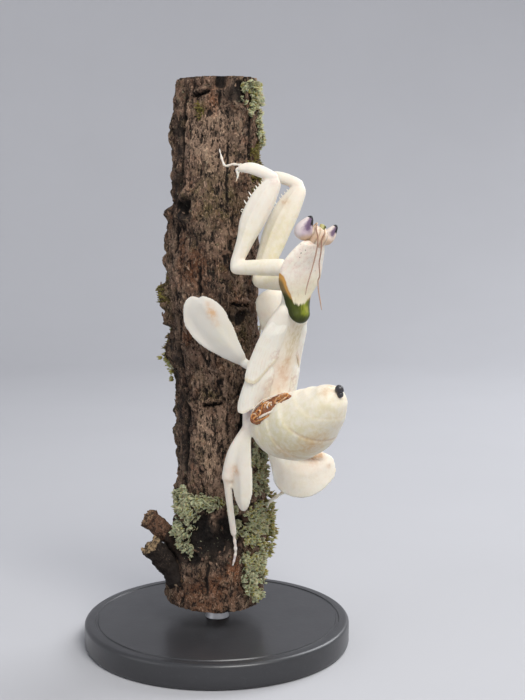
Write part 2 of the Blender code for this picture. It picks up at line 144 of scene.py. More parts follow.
def bark_point(bearing, height, clear=0.0):
    """A point on the branch before its bark is carved, or outside it by clear."""
    share = (height - BRANCH_FOOT) / (BRANCH_TOP - BRANCH_FOOT)
    lumps = math.sin(3 * bearing + height / 9) + math.sin(2 * bearing - height / 14 + 1)
    radius = along(BRANCH_RADII, share) + BARK_LUMP * lumps + clear
    sway = along(BRANCH_SWAY, share)
    return Vector((math.sin(bearing) * radius + sway, -math.cos(bearing) * radius, height))


def on_bark(bearing_degrees, height, clear):
    """A point that clears the carved bark."""
    bearing = math.radians(bearing_degrees)
    return bark_point(bearing, height, clear + max(0.0, relief(bearing, height)[0]))


# ---------------------------------------------------------------- settings

def colour(name, description, default):
    return bpy.props.FloatVectorProperty(
        name=name, description=description, subtype="COLOR", size=3, min=0, max=1, default=default
    )


def length(name, description, default):
    return bpy.props.FloatProperty(
        name=name, description=description, subtype="DISTANCE", unit="LENGTH", default=default
    )


class MantisSizes(bpy.types.PropertyGroup):
    grain: length("Skin grain", "Edge length of the skin's mesh", 0.00023)
    pad_wall: length("Wing pad wall", "Thickness of a wing pad", 0.0003)
    feeler: length("Feeler radius", "Radius of a feeler along most of its length", 0.00012)
    bark_depth: length("Bark depth", "Depth of the cracks between the bark's plates", BARK_DEPTH)
    lichen_leaf: length("Lichen leaf", "Length of a middling lichen leaf", 0.00085)
    rim: length("Stand rim", "Rounding of the stand's rim", 0.0008)


class MantisColours(bpy.types.PropertyGroup):
    cream: colour("Cream", "The mantis's own white", (0.88, 0.82, 0.71))
    shell_pink: colour("Shell pink", "Blush of the shield and wing pads", (0.82, 0.68, 0.58))
    leaf_tint: colour("Green tint", "Green-yellow tint of the belly and thighs", (0.72, 0.655, 0.385))
    amber: colour("Amber", "Stains on the knees and lobes", (0.58, 0.34, 0.16))
    # Painted shade: the grey laid over the lobes that turn from the light and over the abdomen's lower side
    ash: colour("Ash", "Cooler white of the thin lobes", (0.60, 0.575, 0.52))
    lilac: colour("Lilac", "Tint of the eyes and feet", (0.60, 0.48, 0.52))
    violet: colour("Violet", "Streak on the eyes", (0.15, 0.09, 0.17))
    black: colour("Black", "Eye points and the end of the abdomen", (0.012, 0.010, 0.012))
    moss_green: colour("Shield green", "The green hem of the shield", (0.060, 0.075, 0.007))
    # On the shield, lime is laid as a painted highlight in the middle of the green end; the horn takes it as
    # its own colour
    lime: colour("Shield lime", "The lighter middle of the green hem", (0.24, 0.275, 0.020))
    rust: colour("Rust", "Feelers and folded back plates", (0.27, 0.10, 0.04))
    beige: colour("Beige", "Back of the head", (0.72, 0.52, 0.36))
    straw: colour("Straw", "Middle of the back", (0.62, 0.50, 0.28))
    caramel: colour("Caramel", "Rims of the folded back plates", (0.58, 0.25, 0.07))
    bark_dark: colour("Dark bark", "Cracks and damp bark", (0.018, 0.012, 0.009))
    bark_brown: colour("Brown bark", "The bark's plates", (0.165, 0.100, 0.068))
    bark_tan: colour("Tan bark", "Dry, worn bark", (0.40, 0.27, 0.185))
    bark_red: colour("Red bark", "Inner bark where plates have flaked", (0.26, 0.10, 0.042))
    wood: colour("Cut wood", "The sawn ends", (0.52, 0.36, 0.20))
    lichen: colour("Lichen", "Grey-green lichen leaves", (0.37, 0.375, 0.235))
    lichen_olive: colour("Olive lichen", "Lichen at its outer edge", (0.36, 0.32, 0.07))
    moss: colour("Moss", "Moss and green stains on the bark", (0.11, 0.09, 0.02))
    base: colour("Stand", "The stand's disc", (0.030, 0.030, 0.033))
    steel: colour("Rod", "The stand's rod", (0.62, 0.62, 0.63))
    floor: colour("Floor", "Floor and backdrop", (0.50, 0.50, 0.52))


def sizes():
    return bpy.context.scene.mantis_sizes


def tint(name):
    return tuple(getattr(bpy.context.scene.mantis_colours, name))


def scaled(shade, factor):
    """A shade made lighter or darker."""
    return tuple(channel * factor for channel in shade)


def filtered(shade, factors):
    """A shade with a factor for each of its channels."""
    return tuple(channel * factor for channel, factor in zip(shade, factors))


def mixed(first, second, first_part=0.5, second_part=0.5):
    """Two shades added in parts."""
    return tuple(first_part * a + second_part * b for a, b in zip(first, second))


# ---------------------------------------------------------------- modelling

def deselect():
    bpy.ops.object.select_all(action="DESELECT")


def only(obj):
    """Selects one object and makes it the active one."""
    deselect()
    obj.select_set(True)
    bpy.context.view_layer.objects.active = obj


def added(name):
    """The primitive just added, named, with its place put into its mesh."""
    obj = bpy.context.object
    obj.name = obj.data.name = name
    bpy.ops.object.transform_apply(location=True, rotation=True, scale=True)
    return obj


def worked(obj, kind, **settings):
    """Adds a modifier and applies it."""
    only(obj)
    modifier = obj.modifiers.new(kind.title(), kind)
    for setting, value in settings.items():
        setattr(modifier, setting, value)
    bpy.ops.object.modifier_apply(modifier=modifier.name)
    return obj


def mended(obj, merge=1e-7):
    """Closes seams and poles and turns the faces outwards."""
    only(obj)
    bpy.ops.object.mode_set(mode="EDIT")
    bpy.ops.mesh.select_all(action="SELECT")
    bpy.ops.mesh.remove_doubles(threshold=merge)
    bpy.ops.mesh.normals_make_consistent(inside=False)
    bpy.ops.object.mode_set(mode="OBJECT")
    return obj


def bevelled(obj, width, segments, sharpest):
    """Rounds the edges that bend by more than an angle in degrees."""
    angle = math.radians(sharpest)
    return worked(obj, "BEVEL", width=width, segments=segments, limit_method="ANGLE", angle_limit=angle)


def softened(obj):
    only(obj)
    bpy.ops.object.shade_smooth()
    return obj


def joined(pieces, name):
    """Several meshes as one."""
    deselect()
    for piece in pieces:
        piece.select_set(True)
    bpy.context.view_layer.objects.active = pieces[0]
    if len(pieces) > 1:
        bpy.ops.object.join()
    obj = bpy.context.object
    obj.name = obj.data.name = name
    return obj


def tube(name, rings, sides):
    """An upright tube of radius 1 and height 1, capped, with evenly spaced rings."""
    deselect()
    bpy.ops.mesh.primitive_cylinder_add(
        vertices=sides, radius=1, depth=1, location=(0, 0, 0.5), end_fill_type="TRIFAN"
    )
    obj = added(name)
    for cuts in rings:
        select_uprights(obj)
        bpy.ops.object.mode_set(mode="EDIT")
        bpy.ops.mesh.subdivide(number_cuts=cuts)
        bpy.ops.object.mode_set(mode="OBJECT")
    return obj


def select_uprights(obj):
    """Selects the edges that run along a tube's wall."""
    mesh = obj.data
    only(obj)
    bpy.ops.object.mode_set(mode="EDIT")
    bpy.ops.mesh.select_mode(type="EDGE")
    bpy.ops.mesh.select_all(action="DESELECT")
    bpy.ops.object.mode_set(mode="OBJECT")
    for edge in mesh.edges:
        a, b = (mesh.vertices[i].co for i in edge.vertices)
        edge.select = (a.xy - b.xy).length < 1e-4 and abs(a.z - b.z) > 1e-5


def marked(obj, **values):
    """Stores a value for each vertex under each name, for the shaders to read."""
    for name, numbers in values.items():
        attribute = obj.data.attributes.get(name) or obj.data.attributes.new(name, "FLOAT", "POINT")
        attribute.data.foreach_set("value", np.asarray(numbers, np.float32))
    return obj


def read_mark(obj, name):
    """The values stored under a name, one for each vertex."""
    values = np.zeros(len(obj.data.vertices), np.float32)
    obj.data.attributes[name].data.foreach_get("value", values)
    return values.tolist()


def corners_of(obj):
    """The vertices of a mesh in millimetres, as rows of an array."""
    points = np.zeros(len(obj.data.vertices) * 3, np.float32)
    obj.data.vertices.foreach_get("co", points)
    return points.reshape(-1, 3).astype(float) / MM


def moved_to(obj, points):
    """Puts a mesh's vertices at points given in millimetres."""
    obj.data.vertices.foreach_set("co", (np.asarray(points) * MM).astype(np.float32).ravel())
    obj.data.update()
    return obj


def shown(obj, slot, material, *nodes):
    """Finishes a piece: its material, its body, and the solids it stands for; slot is not used."""
    if not obj.data.materials:
        obj.data.materials.append(material)
    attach(obj, "root")
    if nodes:
        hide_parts(*nodes)
    return obj


def rounding(share, ends):
    """How much of its width a piece has at a share of its length, given how far its ends round off."""
    low, high = ends
    if low and share < low:
        return math.sqrt(max(0.0, 1 - (1 - share / low) ** 2))
    if high and share > 1 - high:
        return math.sqrt(max(0.0, 1 - ((share - 1) / high + 1) ** 2))
    return 1.0


def plain(share, x, y):
    return x, y, 0.0


class Loft:
    """A long body round a curved spine. Half widths lie across side, half heights across the third direction,
    where roof is another half height for the outer side. square under 1 makes rings boxy. shape may move a
    ring's points within the ring and along the body."""

    def __init__(self, spine, widths, heights, side, ends=(0.2, 0.2), square=1.0, roof=None, shape=plain):
        self.spine, self.widths, self.heights, self.side = spine, widths, heights, side
        self.ends, self.square, self.roof, self.shape = ends, square, roof or heights, shape
        self.frames = {}

    def frame(self, share):
        """Centre, directions across, up and along, and the three half sizes at a share of the length."""
        key = round(share, 6)
        if key not in self.frames:
            step = 0.02
            run = along(self.spine, min(1, share + step)) - along(self.spine, max(0, share - step))
            run.normalize()
            across = (self.side - run * self.side.dot(run)).normalized()
            size = rounding(share, self.ends)
            wide, low, high = (along(v, share) * size for v in (self.widths, self.heights, self.roof))
            self.frames[key] = along(self.spine, share), across, across.cross(run), run, wide, low, high
        return self.frames[key]

    def point(self, share, turn, reach=1.0):
        centre, across, up, run, wide, low, high = self.frame(share)
        c, s = math.cos(turn), math.sin(turn)
        x = math.copysign(abs(c) ** self.square, c) * wide * reach
        y = math.copysign(abs(s) ** self.square, s) * (high if s > 0 else low) * reach
        x, y, forward = self.shape(share, x, y)
        return centre + across * x + up * y + run * forward

    def built(self, name, rings=40, sides=28):
        """The body as a closed mesh that stores how far along and how far across each vertex lies."""
        obj = tube(name, (rings,), sides)
        points, shares, turns = [], [], []
        for vertex in obj.data.vertices:
            share = vertex.co.z - math.sin(2 * math.pi * vertex.co.z) * 0.8 / (2 * math.pi)
            share = min(1.0, max(0.0, share))
            reach = min(1.0, vertex.co.xy.length)
            turn = math.atan2(vertex.co.y, vertex.co.x)
            points.append(self.point(share, turn, reach))
            shares.append(share)
            turns.append(math.cos(turn) * reach)
        moved_to(obj, points)
        marked(obj, along=shares, across=turns)
        return softened(mended(obj))


def spike(root, tip, radius, bend=Vector((0, 0, 0)), name="spike"):
    """A thin pointed spine, which may bend."""
    middle = (root + tip) / 2 + bend
    widths = [radius, radius * 0.75, radius * 0.12]
    side = UP if abs((tip - root).normalized().z) < 0.9 else OUT
    return Loft([root, middle, tip], widths, widths, side, (0, 0.04)).built(name, 6, 8)


# ---------------------------------------------------------------- shader maths

def plug(tree, socket, value):
    """Sets a socket, or links it where value is a signal."""
    if isinstance(value, Signal):
        tree.links.new(value.socket, socket)
    elif hasattr(socket.default_value, "__len__") and len(value) == 3 and len(socket.default_value) == 4:
        socket.default_value = (*value, 1.0)
    else:
        socket.default_value = value


def added_node(tree, kind, settings, values, output=0):
    """The signal from a new node, given its settings and its inputs' values."""
    node = tree.nodes.new(kind)
    for setting, value in settings.items():
        setattr(node, setting, value)
    for socket, value in values.items():
        plug(tree, node.inputs[socket], value)
    return Signal(tree, node.outputs[output])


class Signal:
    """A shader socket that takes part in sums: each sum adds its Math node."""

    def __init__(self, tree, socket):
        self.tree, self.socket = tree, socket

    def worked(self, operation, *values):
        return added_node(self.tree, "ShaderNodeMath", {"operation": operation}, dict(enumerate(values)))

    def __add__(self, other):
        return self.worked("ADD", self, other)

    def __sub__(self, other):
        return self.worked("SUBTRACT", self, other)

    def __rsub__(self, other):
        return self.worked("SUBTRACT", other, self)

    def __mul__(self, other):
        return self.worked("MULTIPLY", self, other)

    def __truediv__(self, other):
        return self.worked("DIVIDE", self, other)

    def __pow__(self, other):
        return self.worked("POWER", self, other)

    __radd__ = __add__
    __rmul__ = __mul__

    def at_least(self, other):
        return self.worked("MAXIMUM", self, other)

    def at_most(self, other):
        return self.worked("MINIMUM", self, other)

    def wave(self):
        return self.worked("SINE", self)

    def size(self):
        return self.worked("ABSOLUTE", self)

    def step(self, low, high):
        """0 below low, 1 above high, and a soft step between."""
        settings = {"interpolation_type": "SMOOTHSTEP"}
        return added_node(self.tree, "ShaderNodeMapRange", settings, {0: self, 1: low, 2: high})


class Finish:
    """A material whose Principled constants are given, and whose patterns are added by its methods."""

    def __init__(self, name, **constants):
        self.material = bpy.data.materials.new(name)
        self.material.use_nodes = True
        self.tree = self.material.node_tree
        self.shader = self.tree.nodes["Principled BSDF"]
        self.colour = None
        for socket, value in constants.items():
            plug(self.tree, self.shader.inputs[socket.replace("_", " ")], value)

    def node(self, kind, settings, values, output=0):
        return added_node(self.tree, kind, settings, values, output)

    def place(self, stretch=(1, 1, 1)):
        """Object coordinates in millimetres, stretched by a factor along each axis."""
        here = self.node("ShaderNodeTexCoord", {}, {}, "Object")
        scale = tuple(1 / (MM * s) for s in stretch)
        return self.node("ShaderNodeMapping", {}, {"Vector": here, "Scale": scale})

    def noise(self, grain, detail=3.0, rough=0.55, at=None, swirl=0.0):
        """Noise whose features are about grain millimetres wide."""
        values = {"Vector": at or self.place(), "Scale": 1 / grain, "Detail": detail}
        values |= {"Roughness": rough, "Distortion": swirl}
        return self.node("ShaderNodeTexNoise", {}, values)

    def bent(self, grain, depth, stretch=(1, 1, 1)):
        """A place that noise bends by up to depth millimetres each way."""
        here = self.place(stretch)
        bends = self.node("ShaderNodeTexNoise", {}, {"Vector": here, "Scale": 1 / grain}, "Color")
        values = {0: bends, 1: (2 * depth, 2 * depth, 2 * depth), 2: here}
        return self.node("ShaderNodeVectorMath", {"operation": "MULTIPLY_ADD"}, values)

    def cells(self, grain, at=None, feature="F1", output="Distance"):
        values = {"Vector": at or self.place(), "Scale": 1 / grain}
        return self.node("ShaderNodeTexVoronoi", {"feature": feature}, values, output)

    def mark(self, name):
        return self.node("ShaderNodeAttribute", {"attribute_name": name}, {}, "Fac")

    def blend(self, amount, a, b):
        return self.node("ShaderNodeMix", {"data_type": "RGBA"}, {0: amount, 6: a, 7: b}, 2)

    def bump(self, height, depth, under=None, strength=1.0):
        """A normal from height, in units of depth metres, over the normal under it."""
        values = {"Height": height, "Distance": depth, "Strength": strength}
        if under is not None:
            values["Normal"] = under
        return self.node("ShaderNodeBump", {}, values)

    def ground(self, amount, a, b):
        """Starts the colour as a mix of two shades."""
        self.colour = self.blend(amount, a, b)

    def over(self, amount, shade):
        """Lays a shade over the colour so far."""
        self.colour = self.blend(amount, self.colour, shade)

    def into(self, **values):
        """Puts the colour and the other signals into the shader, and gives the material."""
        if self.colour is not None:
            values["Base_Color"] = self.colour
        for socket, value in values.items():
            plug(self.tree, self.shader.inputs[socket.replace("_", " ")], value)
        return self.material


FLESH = {
    "Subsurface_Weight": 0.35,
    "Subsurface_Radius": (1.0, 0.75, 0.55),
    "Subsurface_Scale": 0.0007,
    "IOR": 1.42,
}


def cuticle():
    """Creamy, waxy skin with the stains that stain() marks on it, and the painted shade it marks on the left
    lobes, a foreleg and the abdomen's lower side.
    """
    finish = Finish("cuticle", Roughness=0.46, **FLESH)
    cream, leaf, amber, pink = tint("cream"), tint("leaf_tint"), tint("amber"), tint("shell_pink")
    fine = finish.noise(0.35, 4)
    broad = finish.noise(2.2, 4, 0.6)
    blotch = finish.noise(1.1, 5, 0.65)
    streak = finish.noise(0.8, 4, 0.6, finish.place((1, 1, 4)))
    finish.ground(broad.step(0.42, 0.72) * 0.28, cream, pink)
    finish.over(blotch.step(0.50, 0.75) * 0.26, mixed(cream, leaf))
    finish.over(streak.step(0.48, 0.8) * 0.20, scaled(pink, 0.86))
    ragged = blotch.step(0.34, 0.66) * 0.9 + 0.35
    # Painted shade: a grey over the lobes that turn from the light and over the abdomen's lower side
    finish.over(finish.mark("ash").at_most(1.0) * 0.85, tint("ash"))
    for name, shade, strength in (
        ("green", leaf, 0.75), ("rose", pink, 0.7), ("lilac", tint("lilac"), 0.7),
        ("beige", tint("beige"), 1.0),
    ):
        finish.over((finish.mark(name) * ragged).at_most(1.0) * strength, shade)
    fibres = finish.noise(0.45, 4, 0.6, finish.place((1, 1, 5))).step(0.42, 0.66)
    finish.over(finish.mark("straw").at_most(1.0) * (fibres * 0.5 + 0.35), tint("straw"))
    finish.over((finish.mark("amber") * ragged).at_most(1.0) * 0.82, amber)
    groove = finish.mark("groove")
    finish.over((groove * (0.25 + blotch * 0.8)).at_most(1.0) * 0.8, scaled(amber, 0.75))
    lines = finish.mark("furrow")
    finish.over(lines, scaled(amber, 0.5))
    relief = fine * 0.30 + streak * 0.4 + blotch * 0.4 - groove * 0.6 - lines * 0.6
    return finish.into(Roughness=0.38 + fine * 0.2, Normal=finish.bump(relief, 0.00007))


# ---------------------------------------------------------------- stage

CAMERA_TARGET = Vector((9.3, 0, 60.0))
CAMERA_DISTANCE = 240.0
CAMERA_RISE = math.radians(7)
CAMERA_FIELD = 2 * math.atan(350 / 1200)
LAMP_AIM = Vector((0.008, 0, 0.060))  # in metres
SWEEP_FLAT = 420.0
SWEEP_CURVE = 220.0
SWEEP_TOP = 620.0
SWEEP_STEPS = 12


def sweep():
    """A plain pale floor that curves up into a backdrop all round."""
    deselect()
    bpy.ops.mesh.primitive_circle_add(vertices=96, radius=SWEEP_FLAT * MM, fill_type="NGON")
    obj = added("sweep")
    bpy.ops.object.mode_set(mode="EDIT")
    bpy.ops.mesh.select_all(action="SELECT")
    for k in range(SWEEP_STEPS):
        a, b = (math.pi / 2 * (k + i) / SWEEP_STEPS for i in (0, 1))
        before, after = (SWEEP_FLAT + SWEEP_CURVE * math.sin(t) for t in (a, b))
        rise = SWEEP_CURVE * (math.cos(a) - math.cos(b)) * MM
        extrude_rim(rise, after / before)
    extrude_rim((SWEEP_TOP - SWEEP_CURVE) * MM, 1.0)
    bpy.ops.object.mode_set(mode="OBJECT")
    bpy.ops.object.shade_smooth()
    finish = Finish("plain paper", Roughness=0.9)
    mottle = finish.noise(60, 2)
    pale = tint("floor")
    finish.ground(mottle, pale, scaled(pale, 0.95))
    obj.data.materials.append(finish.into())


def extrude_rim(rise, widen):
    """Extrudes the selected rim upwards and widens it."""
    bpy.ops.mesh.region_to_loop()
    bpy.ops.mesh.extrude_edges_move(TRANSFORM_OT_translate={"value": (0, 0, rise)})
    if widen != 1.0:
        bpy.ops.transform.resize(value=(widen, widen, 1))


def lamp(name, place, size, power, warmth):
    """A square soft box aimed at the mantis."""
    deselect()
    bpy.ops.object.light_add(type="AREA", location=place)
    obj = bpy.context.object
    obj.name = name
    obj.data.shape = "SQUARE"
    obj.data.size = size
    obj.data.energy = power
    obj.data.color = warmth
    aim = LAMP_AIM - Vector(place)
    obj.rotation_euler = aim.to_track_quat("-Z", "Y").to_euler()


def camera():
    """Looks along +Y and a little down on the branch's middle."""
    back = Vector((0, -math.cos(CAMERA_RISE), math.sin(CAMERA_RISE)))
    place = CAMERA_TARGET + back * CAMERA_DISTANCE
    bpy.ops.object.camera_add(location=place * MM, rotation=(math.pi / 2 - CAMERA_RISE, 0, 0))
    obj = bpy.context.object
    obj.data.sensor_fit = "VERTICAL"
    obj.data.angle = CAMERA_FIELD
    obj.data.clip_start = 0.001
    bpy.context.scene.camera = obj


def daylight():
    world = bpy.data.worlds.new("soft room light")
    world.use_nodes = True
    background = world.node_tree.nodes["Background"]
    background.inputs["Color"].default_value = (0.86, 0.90, 1.0, 1)
    background.inputs["Strength"].default_value = 0.42
    bpy.context.scene.world = world
    bpy.context.scene.view_settings.view_transform = "Standard"


# ---------------------------------------------------------------- stand

def stand_base():
    """A turned disc with a rounded rim and a shallow groove."""
    deselect()
    radius, height = BASE_HIGH.x, BASE_HIGH.z
    bpy.ops.mesh.primitive_cylinder_add(
        vertices=160, radius=radius * MM, depth=height * MM, location=(0, 0, height / 2 * MM)
    )
    obj = added("stand_disc")
    bpy.ops.object.mode_set(mode="EDIT")
    bpy.ops.mesh.select_mode(type="FACE")
    select_faces(obj, lambda face: face.normal.z > 0.9)
    for inset, drop in ((2.0, 0.0), (0.15, -0.2), (0.5, 0.0), (0.15, 0.2), (12.0, 0.0)):
        bpy.ops.mesh.inset(thickness=inset * MM)
        if drop:
            bpy.ops.transform.translate(value=(0, 0, drop * MM))
    bpy.ops.object.mode_set(mode="OBJECT")
    bevelled(obj, sizes().rim, 4, 60)
    bpy.ops.object.shade_smooth_by_angle(angle=math.radians(40))
    finish = Finish("satin black lacquer", Coat_Weight=0.3, Coat_Roughness=0.2)
    dust = finish.noise(0.7, 4)
    broad = finish.noise(9, 3)
    dark = tint("base")
    finish.ground(dust.step(0.55, 0.8) * 0.4, dark, scaled(dark, 2.2))
    finish.into(Roughness=0.30 + broad * 0.16, Normal=finish.bump(dust, 0.00002))
    shown(obj, "stand", finish.material, "stand_base")


def select_faces(obj, wanted):
    """In edit mode, selects the faces that wanted() picks."""
    bpy.ops.mesh.select_all(action="DESELECT")
    bpy.ops.object.mode_set(mode="OBJECT")
    for face in obj.data.polygons:
        face.select = wanted(face)
    bpy.ops.object.mode_set(mode="EDIT")


def stand_rod():
    """A short steel pin with a collar at each end, from the disc to the branch."""
    deselect()
    radius, low, high = ROD_HIGH.x, BASE_HIGH.z, BRANCH_FOOT
    bpy.ops.mesh.primitive_cylinder_add(
        vertices=64, radius=radius * MM, depth=(high - low) * MM, location=(0, 0, (high + low) / 2 * MM)
    )
    obj = added("stand_pin")
    bpy.ops.object.mode_set(mode="EDIT")
    bpy.ops.mesh.select_mode(type="FACE")
    select_faces(obj, lambda face: abs(face.normal.z) < 0.1)
    bpy.ops.mesh.inset(thickness=0.9 * MM)
    bpy.ops.transform.resize(value=(0.86, 0.86, 1), center_override=(0, 0, (low + high) / 2 * MM))
    bpy.ops.object.mode_set(mode="OBJECT")
    bevelled(obj, 0.15 * MM, 3, 40)
    bpy.ops.object.shade_smooth_by_angle(angle=math.radians(40))
    finish = Finish("brushed steel", Metallic=1.0)
    brushed = finish.noise(0.25, 4, 0.6, finish.place((6, 6, 0.5)))
    steel = tint("steel")
    finish.ground(brushed, steel, scaled(steel, 0.8))
    finish.into(Roughness=0.25 + brushed * 0.2, Normal=finish.bump(brushed, 0.00001))
    shown(obj, "rod", finish.material, "stand_rod")


# ---------------------------------------------------------------- branch

BARK_SEED = 3
# Long cracks in the bark: bearing, lowest and highest point, half width in degrees, depth
FISSURES = (
    (-51, 78, 112, 3.4, 1.2), (-50, 34, 69, 3.2, 1.0), (-31, 106, 113, 3.0, 0.8),
    (6, 105, 113, 3.0, 0.8), (50, 92, 112, 3.4, 0.9), (17, 86, 103, 2.2, 0.5), (30, 30, 55, 3.0, 0.8),
    (-12, 62, 80, 2.4, 0.6), (86, 30, 74, 3.6, 1.0), (122, 66, 110, 3.4, 1.0), (158, 14, 58, 3.6, 1.1),
    (196, 52, 104, 3.4, 1.0), (232, 16, 66, 3.6, 1.1), (262, 60, 108, 3.6, 1.1), (-8, 10, 21, 2.6, 0.5),
    (300, 12, 17, 3.0, 0.8),
)
# Plates that stand off the branch, given like the cracks
LEDGES = (
    (-80, 64.5, 74, 8, 1.8), (-84, 56.5, 64, 5, 1.2), (-84, 76, 89, 15, 1.0), (-78, 85.8, 88.6, 8, 0.6),
    (-62, 108, 110, 8, 0.6), (-78, 97, 106, 5, 0.6), (-84, 30, 52, 5, 0.5), (66, 76, 99, 6, 0.5),
    (96, 20, 30, 9, 0.7), (150, 66, 78, 9, 0.8), (220, 40, 52, 9, 0.8),
)
# Lips where the bark has split across: bearing, height, half width in degrees, slope
LIPS = (
    (-24, 110.0, 19, 0.6), (-10, 50.4, 20, 0.5), (44, 69.8, 24, -0.4), (150, 84, 26, 0.4),
    (215, 38, 30, -0.5),
)
# Knots and holes: bearing, height, radius, depth
KNOTS = (
    (-36, 88.4, 2.0, 1.5), (39, 67.2, 1.8, 0.8), (-18, 23.5, 5.2, 1.0), (18, 26.0, 3.6, 0.9),
    (36, 110.3, 2.2, 0.8), (140, 40, 3.4, 1.3), (200, 78, 3.0, 1.2), (248, 30, 3.4, 1.2),
    (8, 112.2, 1.8, 0.7),
)


def turned(bearing, degrees):
    """Degrees round the branch from a bearing, between -180 and 180."""
    return (math.degrees(bearing) - degrees + 180) % 360 - 180


def hollows(bearing, height):
    """How deep the long cracks, lips and knots are at a place, and how dark they lie: the bark's own dark in
    the cracks together with painted shade in them, under the lips and in the knots' holes.
    """
    deep = dark = 0.0
    wobble = noise.noise(Vector((height * 0.22, 3.1, 0))) * 5
    wobble += noise.noise(Vector((height * 0.9, 8.1, 0))) * 1.6
    for middle, low, high, width, depth in FISSURES:
        away = turned(bearing, middle) + wobble
        if abs(away) < width * 3:
            line = bell(away, 0, width) * smooth(height, low, low + 4) * smooth(height, high, high - 4)
            deep, dark = max(deep, line * depth), max(dark, line)
    for middle, low, high, width, stand in LEDGES:
        away = turned(bearing, middle) + wobble
        if abs(away) < width * 3:
            line = bell(away, 0, width) * smooth(height, low, low + 1.2) * smooth(height, high, high - 1.2)
            deep -= line * stand * (1 + 0.8 * noise.noise(Vector((height * 0.7, middle, 2))))
    for middle, level, width, slope in LIPS:
        away = turned(bearing, middle)
        if abs(away) < width:
            rise = height - level - slope * away / width - 0.35 * noise.noise(Vector((away * 0.25, level, 0)))
            fade = smooth(abs(away), width, width * 0.6)
            deep += fade * (1.1 * bell(rise, -0.25, 0.36) - 0.6 * bell(rise, 0.5, 0.4))
            dark = max(dark, fade * bell(rise, -0.25, 0.42))
    for middle, level, radius, depth in KNOTS:
        round_it = math.radians(turned(bearing, middle)) * MIDDLING_RADIUS
        away = math.hypot(round_it, (height - level) * 0.8) / radius
        away += 0.45 * noise.noise(Vector((round_it * 0.5, height * 0.5, level)))
        if away < 2:
            hole = smooth(away, 0.95, 0.35)
            deep += depth * (hole - 0.55 * bell(away, 1.1, 0.28))
            dark = max(dark, hole)
    return deep, dark


def relief(bearing, height):
    """The bark at a place: how far it stands off the plain branch, how dark it lies, which is partly painted
    shade in its hollows and low places, and how worn it is.
    """
    here = outward(bearing, MIDDLING_RADIUS, height)
    upright = Vector((here.x, here.y, here.z * 0.45))
    lump = noise.fractal(here * 0.13 + Vector((3, 1, 8)), 1.0, 2.0, 2) * 0.55
    ridge = noise.ridged_multi_fractal(Vector((here.x, here.y, here.z * 0.22)) * 0.42, 0.9, 2.0, 3, 0.9, 1.6)
    rough = noise.fractal(upright * 0.95, 0.7, 2.15, 5)
    distances, centres = noise.voronoi(upright * 0.62 + noise.noise_vector(upright * 1.1) * 0.55)
    seam = 1 - smooth(distances[1] - distances[0], 0.0, 0.22)
    lift = noise.noise(centres[0] * 9.7)
    crumb = noise.noise(Vector((here.x, here.y, here.z * 0.55)) * 2.3)
    deep, dark = hollows(bearing, height)
    fine = (ridge - 1.1) * 0.24 + rough * 0.42 + lift * 0.26 + crumb * 0.18 - seam * 0.22
    # Low places are darkened with the hollows: partly the bark's own dark, partly painted shade
    low = smooth(fine, -0.22, -0.62)
    crest = smooth(fine, 0.04, 0.36) * (1 - dark)
    return lump + fine - deep * sizes().bark_depth / BARK_DEPTH, max(dark, low * 0.85), crest


def carved(bearing, height):
    """A point on the finished bark, in millimetres."""
    return bark_point(bearing, height, relief(bearing, height)[0])


# Colours of the bark's regions: bearing, height, half sizes round and up in millimetres, strength
BARK_ZONES = {
    "rusty": (
        (-24, 76, 3.0, 5.0, 0.5), (-10, 12, 7.0, 4.0, 0.6), (-4, 108, 1.4, 2.6, 1.1),
        (21, 18.2, 1.1, 1.9, 2.4), (8, 14.5, 3.5, 2.4, 0.45), (-20, 13, 4, 3.0, 0.35),
        (-40, 80, 1.0, 5.0, 0.8), (-14, 76, 1.6, 3.0, 0.6), (-37, 63.5, 1.4, 1.6, 1.5),
        (35, 71, 1.6, 1.2, 0.9), (-66, 88, 2.2, 3.0, 0.6), (-70, 26, 3.0, 1.6, 0.7),
        (170, 60, 5, 7, 0.6), (230, 95, 5, 6, 0.6), (120, 18, 5, 5, 0.6), (-20, 78, 2.2, 3.0, 0.4),
    ),
    "olive": (
        (-25, 106.6, 1.8, 1.5, 1.2), (4, 90, 4.5, 6.0, 0.85), (-86, 71, 2.5, 4.5, 1.0),
        (-14, 52, 2.2, 1.4, 0.9), (74, 92, 2.6, 8, 1.0), (-84, 50, 2.0, 14, 0.7), (38, 64, 3, 5, 0.8),
        (-26, 40, 3, 4, 0.4), (190, 45, 7, 12, 0.8), (245, 78, 6, 9, 0.8), (130, 95, 6, 8, 0.8),
        (-80, 14, 4, 4, 0.6),
    ),
    "dark": (
        (-24, 79, 4.5, 6.5, 0.45), (-26, 23.0, 7.5, 4.4, 1.4), (16, 25.0, 4.0, 3.6, 1.3),
        (-38, 87.0, 1.8, 3.0, 1.2), (38, 67.5, 2.0, 1.6, 1.0), (-60, 96, 2.0, 16, 0.9),
        (-30, 62, 5.0, 7.0, 0.35), (4, 68, 5.0, 6.0, 0.4), (-52, 45, 2.0, 12, 0.6),
        (-10, 12.5, 7.0, 2.4, 0.5), (36, 110.5, 2.0, 1.8, 1.1), (-80, 88.6, 1.6, 1.2, 0.8),
        (-72, 52, 2.8, 18, 0.7), (26, 109, 2.4, 3.0, 0.9), (34, 50, 2.2, 12, 0.8),
        (-62, 20, 4.5, 4.5, 1.0), (150, 24, 6, 6, 0.8), (210, 66, 5, 7, 0.6),
    ),
    "tan": (
        (2, 100, 5.0, 7.0, 1.1), (-24, 103, 3.0, 4.0, 0.7), (-12, 58, 3.0, 6.0, 0.75),
        (-6, 40, 3.5, 5.0, 0.75), (8, 83, 3.0, 5.0, 0.4), (-4, 11, 4.0, 2.0, 0.6),
        (-14, 46.5, 3.5, 2.5, 0.5), (175, 88, 6, 9, 0.6), (235, 50, 6, 8, 0.6), (135, 60, 5, 9, 0.5),
        (-30, 71, 2.0, 3.0, 0.4),
    ),
}


